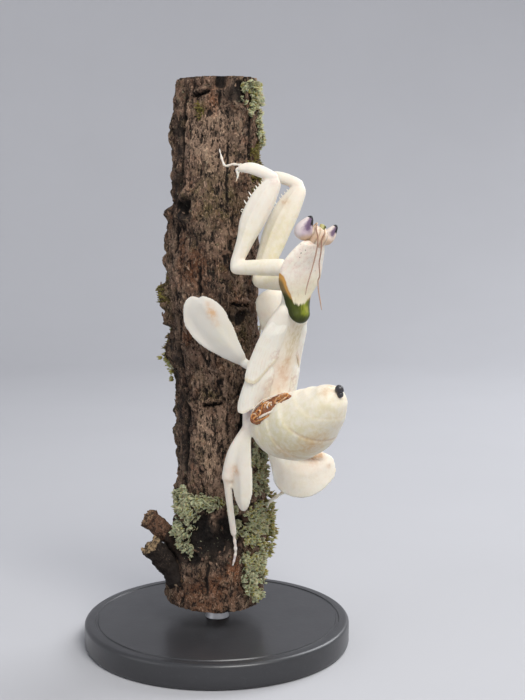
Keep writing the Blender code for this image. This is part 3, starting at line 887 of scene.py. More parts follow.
def zones(bearing, height):
    """How strongly each of the bark's colours shows at a place."""
    here = outward(bearing, MIDDLING_RADIUS, height)
    ragged = noise.fractal(here * 0.5 + Vector((1, 9, 4)), 0.8, 2.1, 4) * 0.9
    found = {}
    for name, spots in BARK_ZONES.items():
        amount = 0.0
        for middle, level, round_it, up_it, strength in spots:
            sideways = math.radians(turned(bearing, middle)) * MIDDLING_RADIUS
            away = math.hypot(sideways / round_it, (height - level) / up_it)
            if away < 2.5:
                amount += strength * math.exp(-away * away)
        found[name] = max(0.0, amount * (1.1 + ragged) + (ragged - 0.5) * 0.25)
    return found


BARK_RINGS = (3, 100)  # cuts along the branch, in two rounds
BARK_SIDES = 216


def branch_bark():
    """The branch with its rough, fissured bark and its two sawn ends."""
    obj = tube("branch_bark", BARK_RINGS, BARK_SIDES)
    points, rims = [], []
    marks = {name: [] for name in ("pit", "crest", *BARK_ZONES)}
    for vertex in obj.data.vertices:
        height = BRANCH_FOOT + (BRANCH_TOP - BRANCH_FOOT) * vertex.co.z
        reach = min(1.0, vertex.co.xy.length)
        bearing = math.atan2(vertex.co.x, -vertex.co.y)
        level, pit, crest = relief(bearing, height)
        edge = smooth(min(height - BRANCH_FOOT, BRANCH_TOP - height), 0.0, 0.8)
        point = bark_point(bearing, height, level - 0.25 * (1 - edge))
        if reach < 0.5:
            point = Vector((along(BRANCH_SWAY, vertex.co.z), 0, height))
        points.append(point)
        rims.append(reach)
        marks["pit"].append(pit)
        marks["crest"].append(crest)
        for name, amount in zones(bearing, height).items():
            marks[name].append(amount)
    moved_to(obj, points)
    marked(obj, rim=rims, **marks)
    obj.data.materials.append(bark_finish())
    obj.data.materials.append(wood_finish())
    for face in obj.data.polygons:
        low, high = BRANCH_FOOT * MM, BRANCH_TOP * MM
        face.material_index = int(min(abs(face.center.z - low), abs(face.center.z - high)) < 1e-5)
    only(obj)
    bpy.ops.object.shade_smooth_by_angle(angle=math.radians(70))
    shown(obj, "bark", None, "branch")


def bark_finish():
    """Scurfy bark: cracked plates of brown, rusty, olive and tan, worn pale crests, and black pits that are
    partly painted shade.
    """
    finish = Finish("bark", Roughness=0.85, Specular_IOR_Level=0.3)
    grain = finish.noise(0.26, 3, 0.6, finish.place((1, 1, 1.8)))
    grit = finish.noise(0.62, 5, 0.72, finish.place((1, 1, 1.7)))
    shreds = finish.noise(0.45, 4, 0.65, finish.place((1, 1, 4.5)))
    scurf = finish.noise(1.3, 5, 0.75, swirl=0.6)
    patches = finish.noise(3.2, 4, 0.6)
    bent = finish.bent(1.5, 2.2, (1, 1, 2.8))
    edges = finish.cells(2.7, bent, "DISTANCE_TO_EDGE")
    plates = finish.cells(2.7, bent, "F1", "Color") + 0.0
    splits = edges.step(0.10, 0.02) * scurf.step(0.46, 0.58)
    brown, tan, dark, red = tint("bark_brown"), tint("bark_tan"), tint("bark_dark"), tint("bark_red")
    finish.ground(patches.step(0.40, 0.62), scaled(brown, 0.7), scaled(brown, 1.8))
    finish.over(finish.noise(1.9, 4).step(0.50, 0.64) * 0.34, red)
    finish.over(finish.noise(2.7, 4, swirl=0.8).step(0.52, 0.66) * 0.42, tint("moss"))
    finish.over(plates.step(0.55, 0.75) * 0.5, scaled(tan, 0.9))
    finish.over(plates.step(0.45, 0.25) * 0.5, scaled(brown, 0.6))
    dry = finish.mark("tan").at_most(1.0)
    finish.over(dry * 0.65, scaled(tan, 1.15))
    olive = finish.mark("olive") * (scurf + 0.4)
    finish.over(olive.at_most(1.0) * 0.75, tint("moss"))
    finish.over((finish.mark("rusty") * (grit + 0.4)).at_most(1.0) * 0.85, red)
    worn = finish.mark("crest") * grit.step(0.36, 0.54)
    grey = mixed(tan, tint("lichen"))
    pale = finish.blend(scurf.step(0.42, 0.58), scaled(tan, 1.35), grey)
    finish.over(worn * (0.50 + dry * 0.40), pale)
    light = grain.step(0.53, 0.60) * scurf.step(0.40, 0.52)
    finish.over(light * (0.5 + dry * 0.4), scaled(tan, 1.9))
    finish.over(grit.step(0.45, 0.38) * 0.92, dark)
    finish.over(shreds.step(0.43, 0.38) * 0.8, dark)
    finish.over(splits * 0.9, dark)
    finish.over((finish.mark("dark") * (scurf + 0.45)).at_most(1.0) * 0.88, dark)
    # Black in the pits, cracks, knot holes and low places: the bark's own dark with painted shade
    finish.over(finish.mark("pit").step(0.25, 0.80) * 0.94, scaled(dark, 0.7))
    flecks = finish.noise(0.42, 2).step(0.67, 0.72) * patches.step(0.35, 0.6)
    finish.over(flecks * 0.75, tint("lichen"))
    relief_map = grit * 1.0 + grain * 0.4 + shreds * 0.5 - splits * 0.6
    return finish.into(Roughness=0.60 + grain * 0.45, Normal=finish.bump(relief_map, 0.0008))


def wood_finish():
    """Sawn wood with growth rings, saw marks and a dark rind of bark."""
    finish = Finish("sawn wood", Roughness=0.75)
    rim = finish.mark("rim")
    ripple = finish.noise(2.2, 3)
    rings = (rim * 62.0 + ripple * 5.0).wave() * 0.5 + 0.5
    pale = tint("wood")
    finish.ground(rings * 0.6, pale, scaled(pale, 0.62))
    finish.over(rim.step(0.30, 0.0) * 0.5, scaled(pale, 0.45))
    finish.over((rim + ripple * 0.03).step(0.89, 0.915), tint("bark_dark"))
    saw = finish.noise(0.4, 3, 0.5, finish.place((9, 0.6, 1)))
    relief = rings * 0.3 + saw
    return finish.into(Normal=finish.bump(relief, 0.00012))


def twigs():
    """The stubs of two broken twigs, rough-barked, with splintered ends."""
    for number, (turn, height, radius, rise, long) in enumerate(TWIGS, 1):
        bearing = math.radians(turn)
        away = outward(bearing, 1.0, rise).normalized()
        root = bark_point(bearing, height)
        spine = [root - away * 3.2, root + away * (long - 0.4)]
        seed = Vector((number * 11.3, 4.1, 2.7))

        def knobbly(share, x, y, seed=seed):
            here = Vector((x, y, share * 7.0))
            rough = noise.fractal(here * 0.9 + seed, 0.75, 2.1, 5)
            flare = 0.45 * smooth(share, 0.42, 0.12) + 0.08 * bell(share, 0.96, 0.05)
            lump = 1 + 0.17 * rough + flare
            jag = noise.fractal(Vector((x, y, 0)) * 1.3 + seed, 0.8, 2.2, 3)
            forward = smooth(share, 0.90, 1.0) * jag * 0.8
            return x * lump, y * lump, forward

        loft = Loft(spine, (radius, radius * 0.95), (radius, radius * 0.95), UP, (0, 0.03), shape=knobbly)
        obj = loft.built(f"twig_stub_{number}", 90, 64)
        obj.data.materials.append(twig_finish(number))
        shown(obj, "bark", None, "branch")


def twig_finish(number):
    """Twig bark, nearly black on the first, lower stub and rusty on the second, that ends in torn wood."""
    finish = Finish(f"twig_bark_{number}", Roughness=0.8, Specular_IOR_Level=0.3)
    fine = finish.noise(0.3, 4, 0.65)
    flakes = finish.noise(0.8, 5, 0.7)
    share = finish.mark("along")
    dark, red = tint("bark_dark"), tint("bark_red")
    ground = mixed(tint("bark_brown"), red, 0.55, 0.3) if number == 2 else dark
    finish.ground(flakes.step(0.36, 0.60), dark, ground)
    finish.over(fine.step(0.54, 0.70) * (0.6 if number == 2 else 0.25), tint("bark_tan"))
    finish.over((share + (flakes - 0.5) * 0.3).step(0.58, 0.42) * 0.9, dark)
    torn = (share + (fine - 0.5) * 0.06).step(0.955, 0.985)
    finish.over(torn * flakes.step(0.38, 0.60) * (0.35 if number == 2 else 0.85), tint("wood"))
    return finish.into(Normal=finish.bump(flakes + fine * 0.7, 0.0004))


# Lichen: bearing, height, half sizes in degrees and millimetres, leaves, and how olive they are
LICHEN_PATCHES = {
    "front": (
        (-46, 30.4, 34, 3.2, 520, 0.15), (-12, 31.2, 15, 1.9, 150, 0.3),
        (-50, 24.0, 18, 3.6, 260, 0.05), (-36, 20.4, 5, 1.6, 30, 0.0), (14, 29.6, 9, 1.2, 50, 0.2),
    ),
    "right": (
        (64, 38.0, 22, 8.0, 480, 0.25), (56, 25.5, 30, 5.0, 560, 0.35), (92, 24.0, 12, 7.0, 260, 1.0),
        (58, 15.5, 25, 5.5, 500, 0.3), (30, 26.5, 7, 1.5, 50, 0.1), (40, 19.0, 10, 2.4, 90, 0.2),
    ),
    "back": (
        (58, 109.0, 25, 3.5, 360, 0.35), (63, 102.5, 12, 3.0, 150, 0.3),
        (150, 60.0, 26, 11.0, 380, 0.3), (205, 90.0, 26, 8.0, 320, 0.3), (190, 30.0, 24, 9.0, 360, 0.5),
        (268, 58.0, 12, 4.0, 60, 0.6),
    ),
}
# Moss is given like lichen, up to its count of tufts
MOSS_PATCHES = (
    (62, 95.5, 12, 5.0, 420), (86, 90.0, 12, 7.0, 300), (-80, 71.0, 10, 3.5, 120),
    (-26, 106.6, 8, 1.8, 60), (60, 100.0, 7, 1.6, 60), (-88, 62.0, 8, 4.0, 90),
    (88, 24.0, 12, 12.0, 240), (170, 45.0, 26, 14.0, 300), (240, 75.0, 20, 14.0, 240),
)
FLAKES = 380
LICHEN_SEED, MOSS_SEED, FLAKE_SEED = 7, 23, 41


def ground_frame(bearing, height):
    """A place on the bark, and a matrix whose third axis stands off the bark and whose second runs up it."""
    here = carved(bearing, height)
    out = outward(bearing)
    across = UP.cross(out)
    turn = Matrix((across, UP, out)).transposed()
    return here, turn


def about(axis, angle):
    return Matrix.Rotation(angle, 3, axis)


def grown(dice, middle, height, round_it, up_it):
    """A random place in a patch of growth, which thins out in clumps towards its edge."""
    while True:
        reach, turn = math.sqrt(dice.random()), dice.uniform(0, 2 * math.pi)
        bearing = math.radians(middle + reach * math.cos(turn) * round_it)
        level = height + reach * math.sin(turn) * up_it
        level = min(BRANCH_TOP - 0.6, max(BRANCH_FOOT + 0.6, level))
        clump = noise.noise(Vector((bearing * 4.4, level * 0.5, 5)))
        if clump > reach * 0.6 - 0.45:
            return ground_frame(bearing, level)


def scattered(name, shape, stands, slot, material):
    """Many copies of one small shape as one mesh. A stand is a place, a turn, three scales and a tone."""
    points = corners_of(shape)
    tips = read_mark(shape, "tip") if "tip" in shape.data.attributes else [0.0] * len(points)
    faces = [tuple(face.vertices) for face in shape.data.polygons]
    corners, loops, tones = [], [], []
    for place, turn, scale, tone in stands:
        first = len(corners)
        matrix = np.array(turn) * np.array(scale)
        corners.extend(points @ matrix.T + np.array(place))
        loops.extend(tuple(first + i for i in face) for face in faces)
        tones.extend([tone] * len(points))
    mesh = bpy.data.meshes.new(name)
    mesh.from_pydata((np.array(corners) * MM).tolist(), [], loops)
    obj = bpy.data.objects.new(name, mesh)
    bpy.context.scene.collection.objects.link(obj)
    bpy.data.objects.remove(shape)
    marked(obj, tone=tones, tip=tips * len(stands))
    softened(obj)
    shown(obj, slot, material)
    return obj


LEAF_LOBES = (0.62, 1.0, 0.80, 1.06, 0.84, 0.58)


def lichen_leaf():
    """One lichen leaf, 1 mm long along Y: a fan with two upturned, ruffled lobes."""
    deselect()
    bpy.ops.mesh.primitive_grid_add(x_subdivisions=5, y_subdivisions=3, size=1)
    obj = added("leaf")
    points, tips = [], []
    for vertex in obj.data.vertices:
        swing, reach = vertex.co.x * 2, vertex.co.y + 0.5
        lobe = LEAF_LOBES[round((swing + 1) * 2.5)]
        radius = 0.06 + 0.94 * reach * lobe**reach
        x = math.sin(swing * 0.85) * radius * (0.5 + 0.35 * reach)
        y = math.cos(swing * 0.85) * radius
        z = 0.34 * reach**2 * lobe + (lobe - 0.85) * 0.5 * reach - 0.10 * math.sin(reach * 3.1)
        points.append((x, y, z))
        tips.append(reach)
    moved_to(obj, points)
    marked(obj, tip=tips)
    worked(obj, "SOLIDIFY", thickness=0.075 * MM, offset=0)
    return mended(obj, 1e-6)


def lichen():
    """Leafy lichen in ruffled, overlapping clumps that hug the bark, in three pieces."""
    dice = random.Random(LICHEN_SEED)
    size = sizes().lichen_leaf / MM
    material = lichen_finish()
    for region, patches in LICHEN_PATCHES.items():
        stands = []
        for *patch, count, olive in patches:
            for _ in range(count):
                here, turn = grown(dice, *patch)
                spin = about("Z", dice.uniform(0, 6.28))
                tilt = about("X", dice.uniform(-0.05, 1.0)) @ about("Y", dice.gauss(0, 0.3))
                scale = size * dice.uniform(0.55, 1.25)
                out = turn @ Vector((0, 0, dice.uniform(-0.05, 0.35 + 1.1 * olive)))
                scales = (scale * dice.uniform(0.8, 1.3), scale, scale * dice.uniform(0.7, 1.6))
                tone = 0.5 * dice.random() + (0.5 if dice.random() < olive else 0.0)
                stands.append((here + out, turn @ spin @ tilt, scales, tone))
        scattered("lichen_" + region, lichen_leaf(), stands, "bark", material)


def lichen_finish():
    """Grey-green lichen with dark hearts and pale rims, and some olive leaves."""
    finish = Finish("lichen", Roughness=0.9, Subsurface_Weight=0.15, Subsurface_Scale=0.0003)
    tone, tip = finish.mark("tone"), finish.mark("tip")
    grain = finish.noise(0.18, 4, 0.6)
    broad = finish.noise(2.4, 3)
    grey, olive = tint("lichen"), tint("lichen_olive")
    finish.ground((tone + broad * 0.4).step(0.62, 0.82), grey, olive)
    finish.over((tip + (grain - 0.5) * 0.3).step(0.60, 0.05) * 0.85, scaled(grey, 0.28))
    rims = (tip + (grain - 0.5) * 0.35).step(0.72, 1.0)
    finish.over(rims * 0.7, scaled(grey, 1.5))
    finish.over(grain.step(0.50, 0.36) * 0.35, scaled(olive, 0.45))
    return finish.into(Normal=finish.bump(grain, 0.00010))


def moss():
    """Tufts of moss blades in patches on the bark."""
    dice = random.Random(MOSS_SEED)
    stands = []
    for middle, height, round_it, up_it, count in MOSS_PATCHES:
        for _ in range(count):
            here, turn = grown(dice, middle, height, round_it, up_it)
            spin = about("Z", dice.uniform(0, 6.28))
            tilt = about("X", dice.uniform(0.1, 1.15))
            scale = dice.uniform(0.4, 0.9)
            scales = (dice.uniform(0.5, 1.0), dice.uniform(0.5, 1.0), scale)
            stands.append((here, turn @ spin @ tilt, scales, dice.random()))
    deselect()
    bpy.ops.mesh.primitive_cone_add(
        vertices=4, radius1=0.00022, radius2=0.00003, depth=0.0012, location=(0, 0, 0.0004)
    )
    blade = added("blade")
    finish = Finish("moss", Roughness=0.8, Subsurface_Weight=0.1, Subsurface_Scale=0.0002)
    green = tint("moss")
    finish.ground(finish.mark("tone"), scaled(green, 0.6), scaled(green, 2.4))
    finish.into()
    scattered("moss_tufts", blade, stands, "bark", finish.material)


def bark_flakes():
    """Loose flakes of bark that stand off the branch all over."""
    dice = random.Random(FLAKE_SEED)
    stands = []
    for _ in range(FLAKES):
        bearing = dice.uniform(-math.pi, math.pi)
        level = dice.uniform(BRANCH_FOOT + 1.5, BRANCH_TOP - 1.5)
        here, turn = ground_frame(bearing, level)
        spin = about("Z", dice.gauss(0, 0.5))
        tilt = about("Y", dice.gauss(0, 0.22)) @ about("X", dice.gauss(0, 0.18))
        scales = (dice.uniform(0.25, 0.7), dice.uniform(0.6, 1.7), dice.uniform(0.4, 1.0))
        stands.append((here, turn @ spin @ tilt, scales, dice.random()))
    deselect()
    bpy.ops.mesh.primitive_grid_add(x_subdivisions=3, y_subdivisions=4, size=1)
    flake = added("flake")
    points = []
    for vertex in flake.data.vertices:
        x, y = vertex.co.x, vertex.co.y
        rag = noise.noise(Vector((x * 5, y * 5, 3)))
        points.append((x * (1 - 1.2 * y * y) + rag * 0.12, y + rag * 0.1, 0.10 + 0.35 * x * x + rag * 0.1))
    moved_to(flake, points)
    worked(flake, "SOLIDIFY", thickness=0.16 * MM, offset=0)
    mended(flake, 1e-6)
    finish = Finish("bark flakes", Roughness=0.85, Specular_IOR_Level=0.25)
    fine = finish.noise(0.3, 5, 0.65, finish.place((1, 1, 3)))
    finish.ground(finish.mark("tone").step(0.35, 1.1), tint("bark_brown"), tint("bark_tan"))
    finish.over(fine.step(0.55, 0.4) * 0.8, tint("bark_dark"))
    finish.into(Normal=finish.bump(fine, 0.0002))
    scattered("bark_flakes", flake, stands, "bark", finish.material)


# ---------------------------------------------------------------- the mantis's skin

THORAX_SPINE = stations(
    (24.0, 71.8, 0), (20.4, 66.6, -0.15), (18.1, 61.5, -0.2), (15.9, 54.7, -0.1), (14.6, 49.6, 0)
)
THORAX_WIDTHS = (3.0, 4.7, 5.4, 5.9, 5.6)
THORAX_BELLY = (1.6, 2.2, 2.2, 2.3, 2.3)
THORAX_ROOF = (1.6, 2.6, 2.9, 3.1, 2.8)
SHIELD_SPINE = stations(
    (27.5, 82.4, -0.2), (26.2, 80.6, -0.1), (24.7, 78.0, 0.1), (23.8, 75.0, 0.15), (23.4, 72.2, 0.15),
    (23.7, 69.6, 0.1), (24.8, 67.2, 0.1),
)
SHIELD_WIDTHS = [2.7, 4.0, 4.95, 4.8, 3.2, 2.5, 2.0]
SHIELD_BACK = [1.0, 1.6, 2.0, 2.1, 1.8, 1.6, 1.4]
CHEST_SPINE = stations((27.4, 81.4), (26.0, 78.6), (24.0, 75.0), (23.0, 71.8), (21.6, 68.6))
ABDOMEN_SPINE = stations((14.2, 49.4), (19.9, 47.3), (25.6, 48.6), (30.6, 52.0), (33.9, 55.9))
ABDOMEN_WIDTHS = [4.4, 5.9, 6.2, 4.6, 2.3]
ABDOMEN_BELLY = [4.3, 5.9, 6.1, 4.2, 1.9]
ABDOMEN_ROOF = [4.0, 5.6, 6.3, 4.9, 2.1]
SEGMENT_ENDS = (0.20, 0.367, 0.563, 0.74, 0.88)
SEGMENT_MARKS = (0.15, 0.6, 1.0, 0.3, 0.2)
SEGMENT_SLANT = 0.085
ABDOMEN_HEART = station(26, 50.5)
ABDOMEN_REACH = 15  # no groove lies further from its heart
ABDOMEN_SLICES = 200


def abdomen(shape=plain):
    return Loft(ABDOMEN_SPINE, ABDOMEN_WIDTHS, ABDOMEN_BELLY, LEFT, (0.1, 0.1), 1.0, ABDOMEN_ROOF, shape)


def stepped(share, x, y):
    """Rings of the abdomen: each slanting plate swells a little and overlaps the next."""
    lean = share + SEGMENT_SLANT * y / along(ABDOMEN_ROOF if y > 0 else ABDOMEN_BELLY, share)
    previous = -SEGMENT_SLANT
    swell = 1.0
    for end in SEGMENT_ENDS + (1.0 + SEGMENT_SLANT,):
        if lean <= end:
            within = (lean - previous) / (end - previous)
            swell += 0.028 * smooth(within, 0.0, 0.85) - 0.028 * smooth(within, 0.94, 1.0)
            break
        previous = end
    swell += 0.012 * noise.noise(Vector((x * 0.35, y * 0.35, share * 5)))
    return x * swell, y * swell, 0.0


def limb(name, a, b, radius_a, radius_b, flat=1.0, side=OUT, bulge=1.0, bow=None):
    """A limb segment from joint to joint, oval, with rounded ends that pass both joints a little."""
    run = (b - a).normalized()
    first, last = a - run * radius_a * 0.7, b + run * radius_b * 0.7
    reach = (last - first).length
    middle = (first + last) / 2 + (bow or Vector((0, 0, 0)))
    widths = [radius_a, (radius_a + radius_b) / 2 * bulge, radius_b]
    ends = (min(0.45, radius_a / reach), min(0.45, radius_b / reach))
    loft = Loft([first, middle, last], widths, [w * flat for w in widths], side, ends)
    return loft.built(name, 34, 26)


# Spines on the edge of a grasping femur: how far up it, and length
FEMUR_SPINES = (
    (0.555, 0.10), (0.625, 0.95), (0.680, 0.50), (0.715, 0.95), (0.775, 0.42), (0.805, 0.55),
    (0.840, 0.38), (0.872, 0.45),
)


def foreleg(joints, coxa_radii, femur_widths, foot):
    """A grasping foreleg: coxa, keeled femur, arched tibia and thin foot, and its spines and claws apart."""
    coxa_base, trochanter, knee, claw = joints
    rise, reach = (knee - trochanter).normalized(), (claw - knee).normalized()
    face = rise.cross(reach).normalized()
    coxa_side = face.cross(trochanter - coxa_base).normalized()
    flesh = [limb("coxa", coxa_base, trochanter, *coxa_radii, 0.9, coxa_side, 1.06)]
    edge = face.cross(rise).normalized()
    inner = edge if edge.dot(reach) > 0 else -edge

    def keeled(share, x, y):
        """Keels run the length of the femur."""
        amount = smooth(share, 0.04, 0.25) * smooth(share, 0.98, 0.85)
        across = x / max(0.5, along(femur_widths, share))
        keel = 0.32 * bell(across, 0.15, 0.12) + 0.22 * bell(across, -0.72, 0.10)
        keel -= 0.16 * bell(across, -0.3, 0.25)
        return x, y + math.copysign(keel * amount, y) if abs(y) > 0.1 else y, 0.0

    spine = [trochanter - rise * 0.9, knee + rise * 0.8]
    for share, shift in ((0.78, 0.6), (0.52, 0.75), (0.28, 0.35)):
        spine.insert(1, trochanter.lerp(knee, share) + inner * shift)
    femur = Loft(spine, femur_widths, [1.1, 1.3, 1.25, 1.1, 0.9], inner, (0.09, 0.08), shape=keeled)
    flesh.append(femur.built("femur", 64, 44))
    corner = (rise - reach).normalized()
    arch = (rise - reach * rise.dot(reach)).normalized() * 0.9
    breadth = face.cross(reach).normalized()
    spine = [knee + corner * 0.45, knee.lerp(claw, 0.3) + arch * 0.85]
    spine += [knee.lerp(claw, 0.7) + arch * 0.9, claw]
    tibia = Loft(spine, [0.95, 1.12, 1.12, 0.62], [0.85, 0.85, 0.75, 0.5], breadth, (0.12, 0.05))
    flesh.append(tibia.built("tibia", 40, 26))
    hard = []
    lean = (inner * 0.86 + rise * 0.51).normalized()
    for share, long in FEMUR_SPINES:
        root = femur.point(share, 0) - inner * 0.3
        hard.append(spike(root, root + lean * (long + 0.3), 0.17, rise * -0.08))
    root = femur.point(FEMUR_SPINES[0][0], 0) + inner * 0.12
    turns = [2 * math.pi * k / 8 for k in range(9)]
    curl = [root + (inner * math.cos(t) + rise * math.sin(t)) * 0.26 for t in turns]
    hard.append(Loft(curl, [0.07] * 9, [0.07] * 9, face, (0, 0)).built("curl", 40, 8))
    for share in (0.78, 0.86, 0.93):
        root = along(spine, share) - arch * 0.4
        hard.append(spike(root, root - arch * 0.55 - UP * 0.25, 0.13))
    hook = [claw - reach * 0.9 + arch * 0.15, claw + reach * 0.15 - UP * 0.25]
    hook += [claw - UP * 1.3, claw - UP * 2.7 + reach * 0.45]
    loft = Loft(hook, [0.5, 0.34, 0.2, 0.05], [0.45, 0.32, 0.2, 0.05], reach, (0, 0.04))
    hard.append(loft.built("hook", 24, 14))
    flesh.append(slim_foot(foot, 0.22, face))
    return flesh, hard


TARSUS_JOINTS = 5


def slim_foot(path, radius, side):
    """A tarsus: thin, with swollen joints and a tapered end."""
    def beaded(share, x, y):
        swell = 1 + 0.35 * abs(math.cos(share * math.pi * TARSUS_JOINTS)) ** 6
        return x * swell, y * swell, 0.0

    thin = [radius * 1.15] * (len(path) - 1) + [radius * 0.8]
    return Loft(path, thin, thin, side, (0, 0.03), shape=beaded).built("tarsus", 60, 14)


def petal_shape(notch, notch_at, ridge, width, ends=(0.1, 0.35)):
    """Folds a flat lobe like a low roof along its midrib, notches its free end and keeps its rim stout."""
    def shape(share, x, y):
        across = x / width
        away = abs(across - notch_at * share)
        roof = ridge * (1 - min(1.0, away * 1.25)) * smooth(share, 1.02, 0.85) * smooth(share, 0.0, 0.2)
        forward = -notch * bell(across, notch_at, 0.15) * smooth(share, 0.7, 1.0)
        ripple = 0.05 * math.sin(across * 7 + share * 5)
        stout = max(0.3, rounding(share, ends)) ** -0.8 if share > 0.5 else 1.0
        return x, y * stout + roof + ripple, forward

    return shape


def walking_leg(
    joints, radii, toes, foot, lobe, lobe_widths, lobe_side, petal, ends=(0.1, 0.35), bows=(0, 0.3)
):
    """A middle or hind leg: coxa, femur with its petal, slim tibia and jointed foot."""
    coxa_base, hip, knee, ankle = joints
    at_hip, at_knee, at_ankle = radii
    bend = (knee - hip).cross(ankle - knee).normalized()
    flesh = [limb("coxa", coxa_base, hip, at_hip * 1.3, at_hip)]
    bow = bend.cross(knee - hip).normalized() * bows[0]
    flesh.append(limb("femur", hip, knee, at_hip, at_knee, 0.65, lobe_side, 1.15, bow=bow))
    bow = bend.cross(ankle - knee).normalized() * bows[1]
    flesh.append(limb("tibia", knee, ankle, at_knee * 0.7, at_ankle, 1.0, bend, 0.95, bow=bow))
    halves = [0.38] * len(lobe_widths)
    loft = Loft(lobe, lobe_widths, halves, lobe_side, ends, 1.0, shape=petal)
    flesh.append(loft.built("petal", 64, 64))
    flesh.append(slim_foot([ankle] + toes, foot, bend))
    return flesh


def trunk():
    """Head capsule, neck, the chest under the shield, thorax and abdomen."""
    crown, mouth = HEAD_CENTRE + CROWN * 2.1, HEAD_CENTRE - CROWN * 2.4 - HEAD_BACK * 3.4
    spine = [crown, HEAD_CENTRE + HEAD_BACK * 0.3, HEAD_CENTRE - CROWN * 1.6 - HEAD_BACK * 1.2, mouth]

    def nape(share, x, y):
        """Shallow upright furrows on the back of the head."""
        return x, y - 0.10 * math.cos(x * 4.2) * smooth(share, 0.1, 0.3), 0.0

    capsule = Loft(spine, [1.8, 2.05, 1.65, 0.9], [1.1, 1.5, 1.0, 0.6], HEAD_LEFT, (0.2, 0.2), shape=nape)
    neck_top = HEAD_CENTRE - CROWN * 1.5 - HEAD_BACK * 0.9
    neck = limb("neck", neck_top, station(24.2, 77.4), 1.4, 1.55)
    chest = Loft(
        CHEST_SPINE, [1.6, 2.7, 3.8, 2.9, 2.5], [1.3, 2.0, 2.3, 2.0, 1.6], LEFT, (0.06, 0.14), square=0.9,
        roof=[0.6, 1.0, 1.2, 1.0, 0.8],
    )
    thorax = Loft(THORAX_SPINE, THORAX_WIDTHS, THORAX_BELLY, LEFT, (0.1, 0.1), roof=THORAX_ROOF)
    return [
        capsule.built("capsule", 40, 40), neck, chest.built("chest", 40, 32),
        thorax.built("thorax", 50, 40), abdomen(stepped).built("belly", 130, 64),
    ]


def all_legs():
    """Every leg's flesh, and the forelegs' spines and claws by side."""
    fore_left, hard_left = foreleg(
        [station(22.3, 77.5, 2.6)] + vectors((4.1, -14.0, 77.2), (11.7, -13.2, 93.2), (4.7, -11.4, 95.6)),
        coxa_radii=(1.62, 1.22),
        femur_widths=[1.0, 1.6, 2.4, 2.4, 1.3],
        foot=vectors((5.3, -11.0, 96.3), (3.7, -10.6, 96.4), (2.3, -10.1, 96.1), (1.75, -9.9, 97.2))
        + [on_bark(6, 99.5, 0.25)],
    )
    fore_right, hard_right = foreleg(
        [station(21.0, 74.5, -2.2)] + vectors((8.6, -9.5, 74.8), (16.6, -8.0, 92.0), (9.6, -5.0, 94.0)),
        coxa_radii=(1.8, 1.75),
        femur_widths=[1.4, 2.3, 2.7, 2.5, 1.3],
        foot=vectors((10.4, -5.0, 94.6), (10.6, -0.6, 94.8)) + [on_bark(108, 95.0, 0.3)],
    )
    middle_left = walking_leg(
        [station(16.2, 58.3, 3.8)] + vectors((5.6, -13.2, 59.2), (-0.8, -13.2, 68.0), (2.2, -9.9, 66.0)),
        radii=(0.8, 0.9, 0.4),
        toes=[on_bark(6, 64.0, 0.6), on_bark(2, 62.0, 0.4)],
        foot=0.28,
        lobe=vectors((6.2, -13.4, 58.8), (0.8, -13.8, 64.6), (-4.6, -13.4, 71.6)),
        lobe_widths=[0.7, 2.2, 3.6, 4.15, 3.9],
        lobe_side=Vector((0.75, 0.0, 0.66)),
        petal=petal_shape(notch=0.6, notch_at=0.38, ridge=0.75, width=4.1),
    )
    middle_right = walking_leg(
        [station(15.9, 61.0, -3.4)] + vectors((11.9, -5.6, 61.2), (12.6, -1.6, 70.4), (9.6, 4.0, 66.0)),
        radii=(0.9, 1.0, 0.5),
        toes=[on_bark(112, 63.5, 0.6), on_bark(118, 61.0, 0.4)],
        foot=0.30,
        lobe=vectors((11.3, -5.8, 61.2), (11.5, -4.0, 67.0), (11.7, -3.0, 72.6)),
        lobe_widths=[0.9, 2.6, 3.7, 4.4, 4.3],
        lobe_side=Vector((0.88, 0.45, 0.0)),
        petal=petal_shape(notch=0.0, notch_at=0.0, ridge=0.6, width=4.4),
    )
    hind_left = walking_leg(
        [station(13.6, 50.4, 3.2)] + vectors((6.5, -13.5, 46.8), (2.55, -13.7, 36.9), (3.7, -10.4, 25.2)),
        radii=(1.0, 1.15, 0.62),
        toes=[on_bark(21, 21.4, 0.6), on_bark(19, 18.4, 0.4)],
        foot=0.27,
        lobe=vectors((6.3, -14.0, 46.6), (5.3, -14.9, 41.0), (5.5, -15.2, 36.0), (5.7, -15.2, 30.9)),
        lobe_widths=[1.2, 2.5, 2.5, 2.3],
        lobe_side=Vector((0.8, -0.6, 0.0)),
        petal=petal_shape(notch=0.0, notch_at=0.1, ridge=-0.5, width=2.8),
        bows=(-1.0, -0.1),
    )
    hind_right = walking_leg(
        [station(13.0, 50.0, -3.2)] + vectors((10.6, -6.0, 43.2), (22.4, 0.0, 38.0), (13.4, 0.2, 30.8)),
        radii=(1.2, 0.8, 0.5),
        toes=[on_bark(82, 29.0, 0.7), on_bark(86, 26.6, 0.4)],
        foot=0.30,
        lobe=vectors(
            (10.2, -5.6, 41.4), (13.2, -3.6, 36.9), (17.2, -2.0, 34.9), (21.0, -0.6, 36.1), (23.4, 0.2, 38.2)
        ),
        lobe_widths=[1.2, 4.0, 4.7, 3.8, 2.2],
        lobe_side=Vector((-0.3, 0.1, 0.95)),
        petal=petal_shape(notch=0.0, notch_at=0.0, ridge=-0.5, width=4.7, ends=(0.1, 0.24)),
        ends=(0.1, 0.24),
    )
    flesh = fore_left + fore_right + middle_left + middle_right + hind_left + hind_right
    return flesh, {"left": hard_left, "right": hard_right}
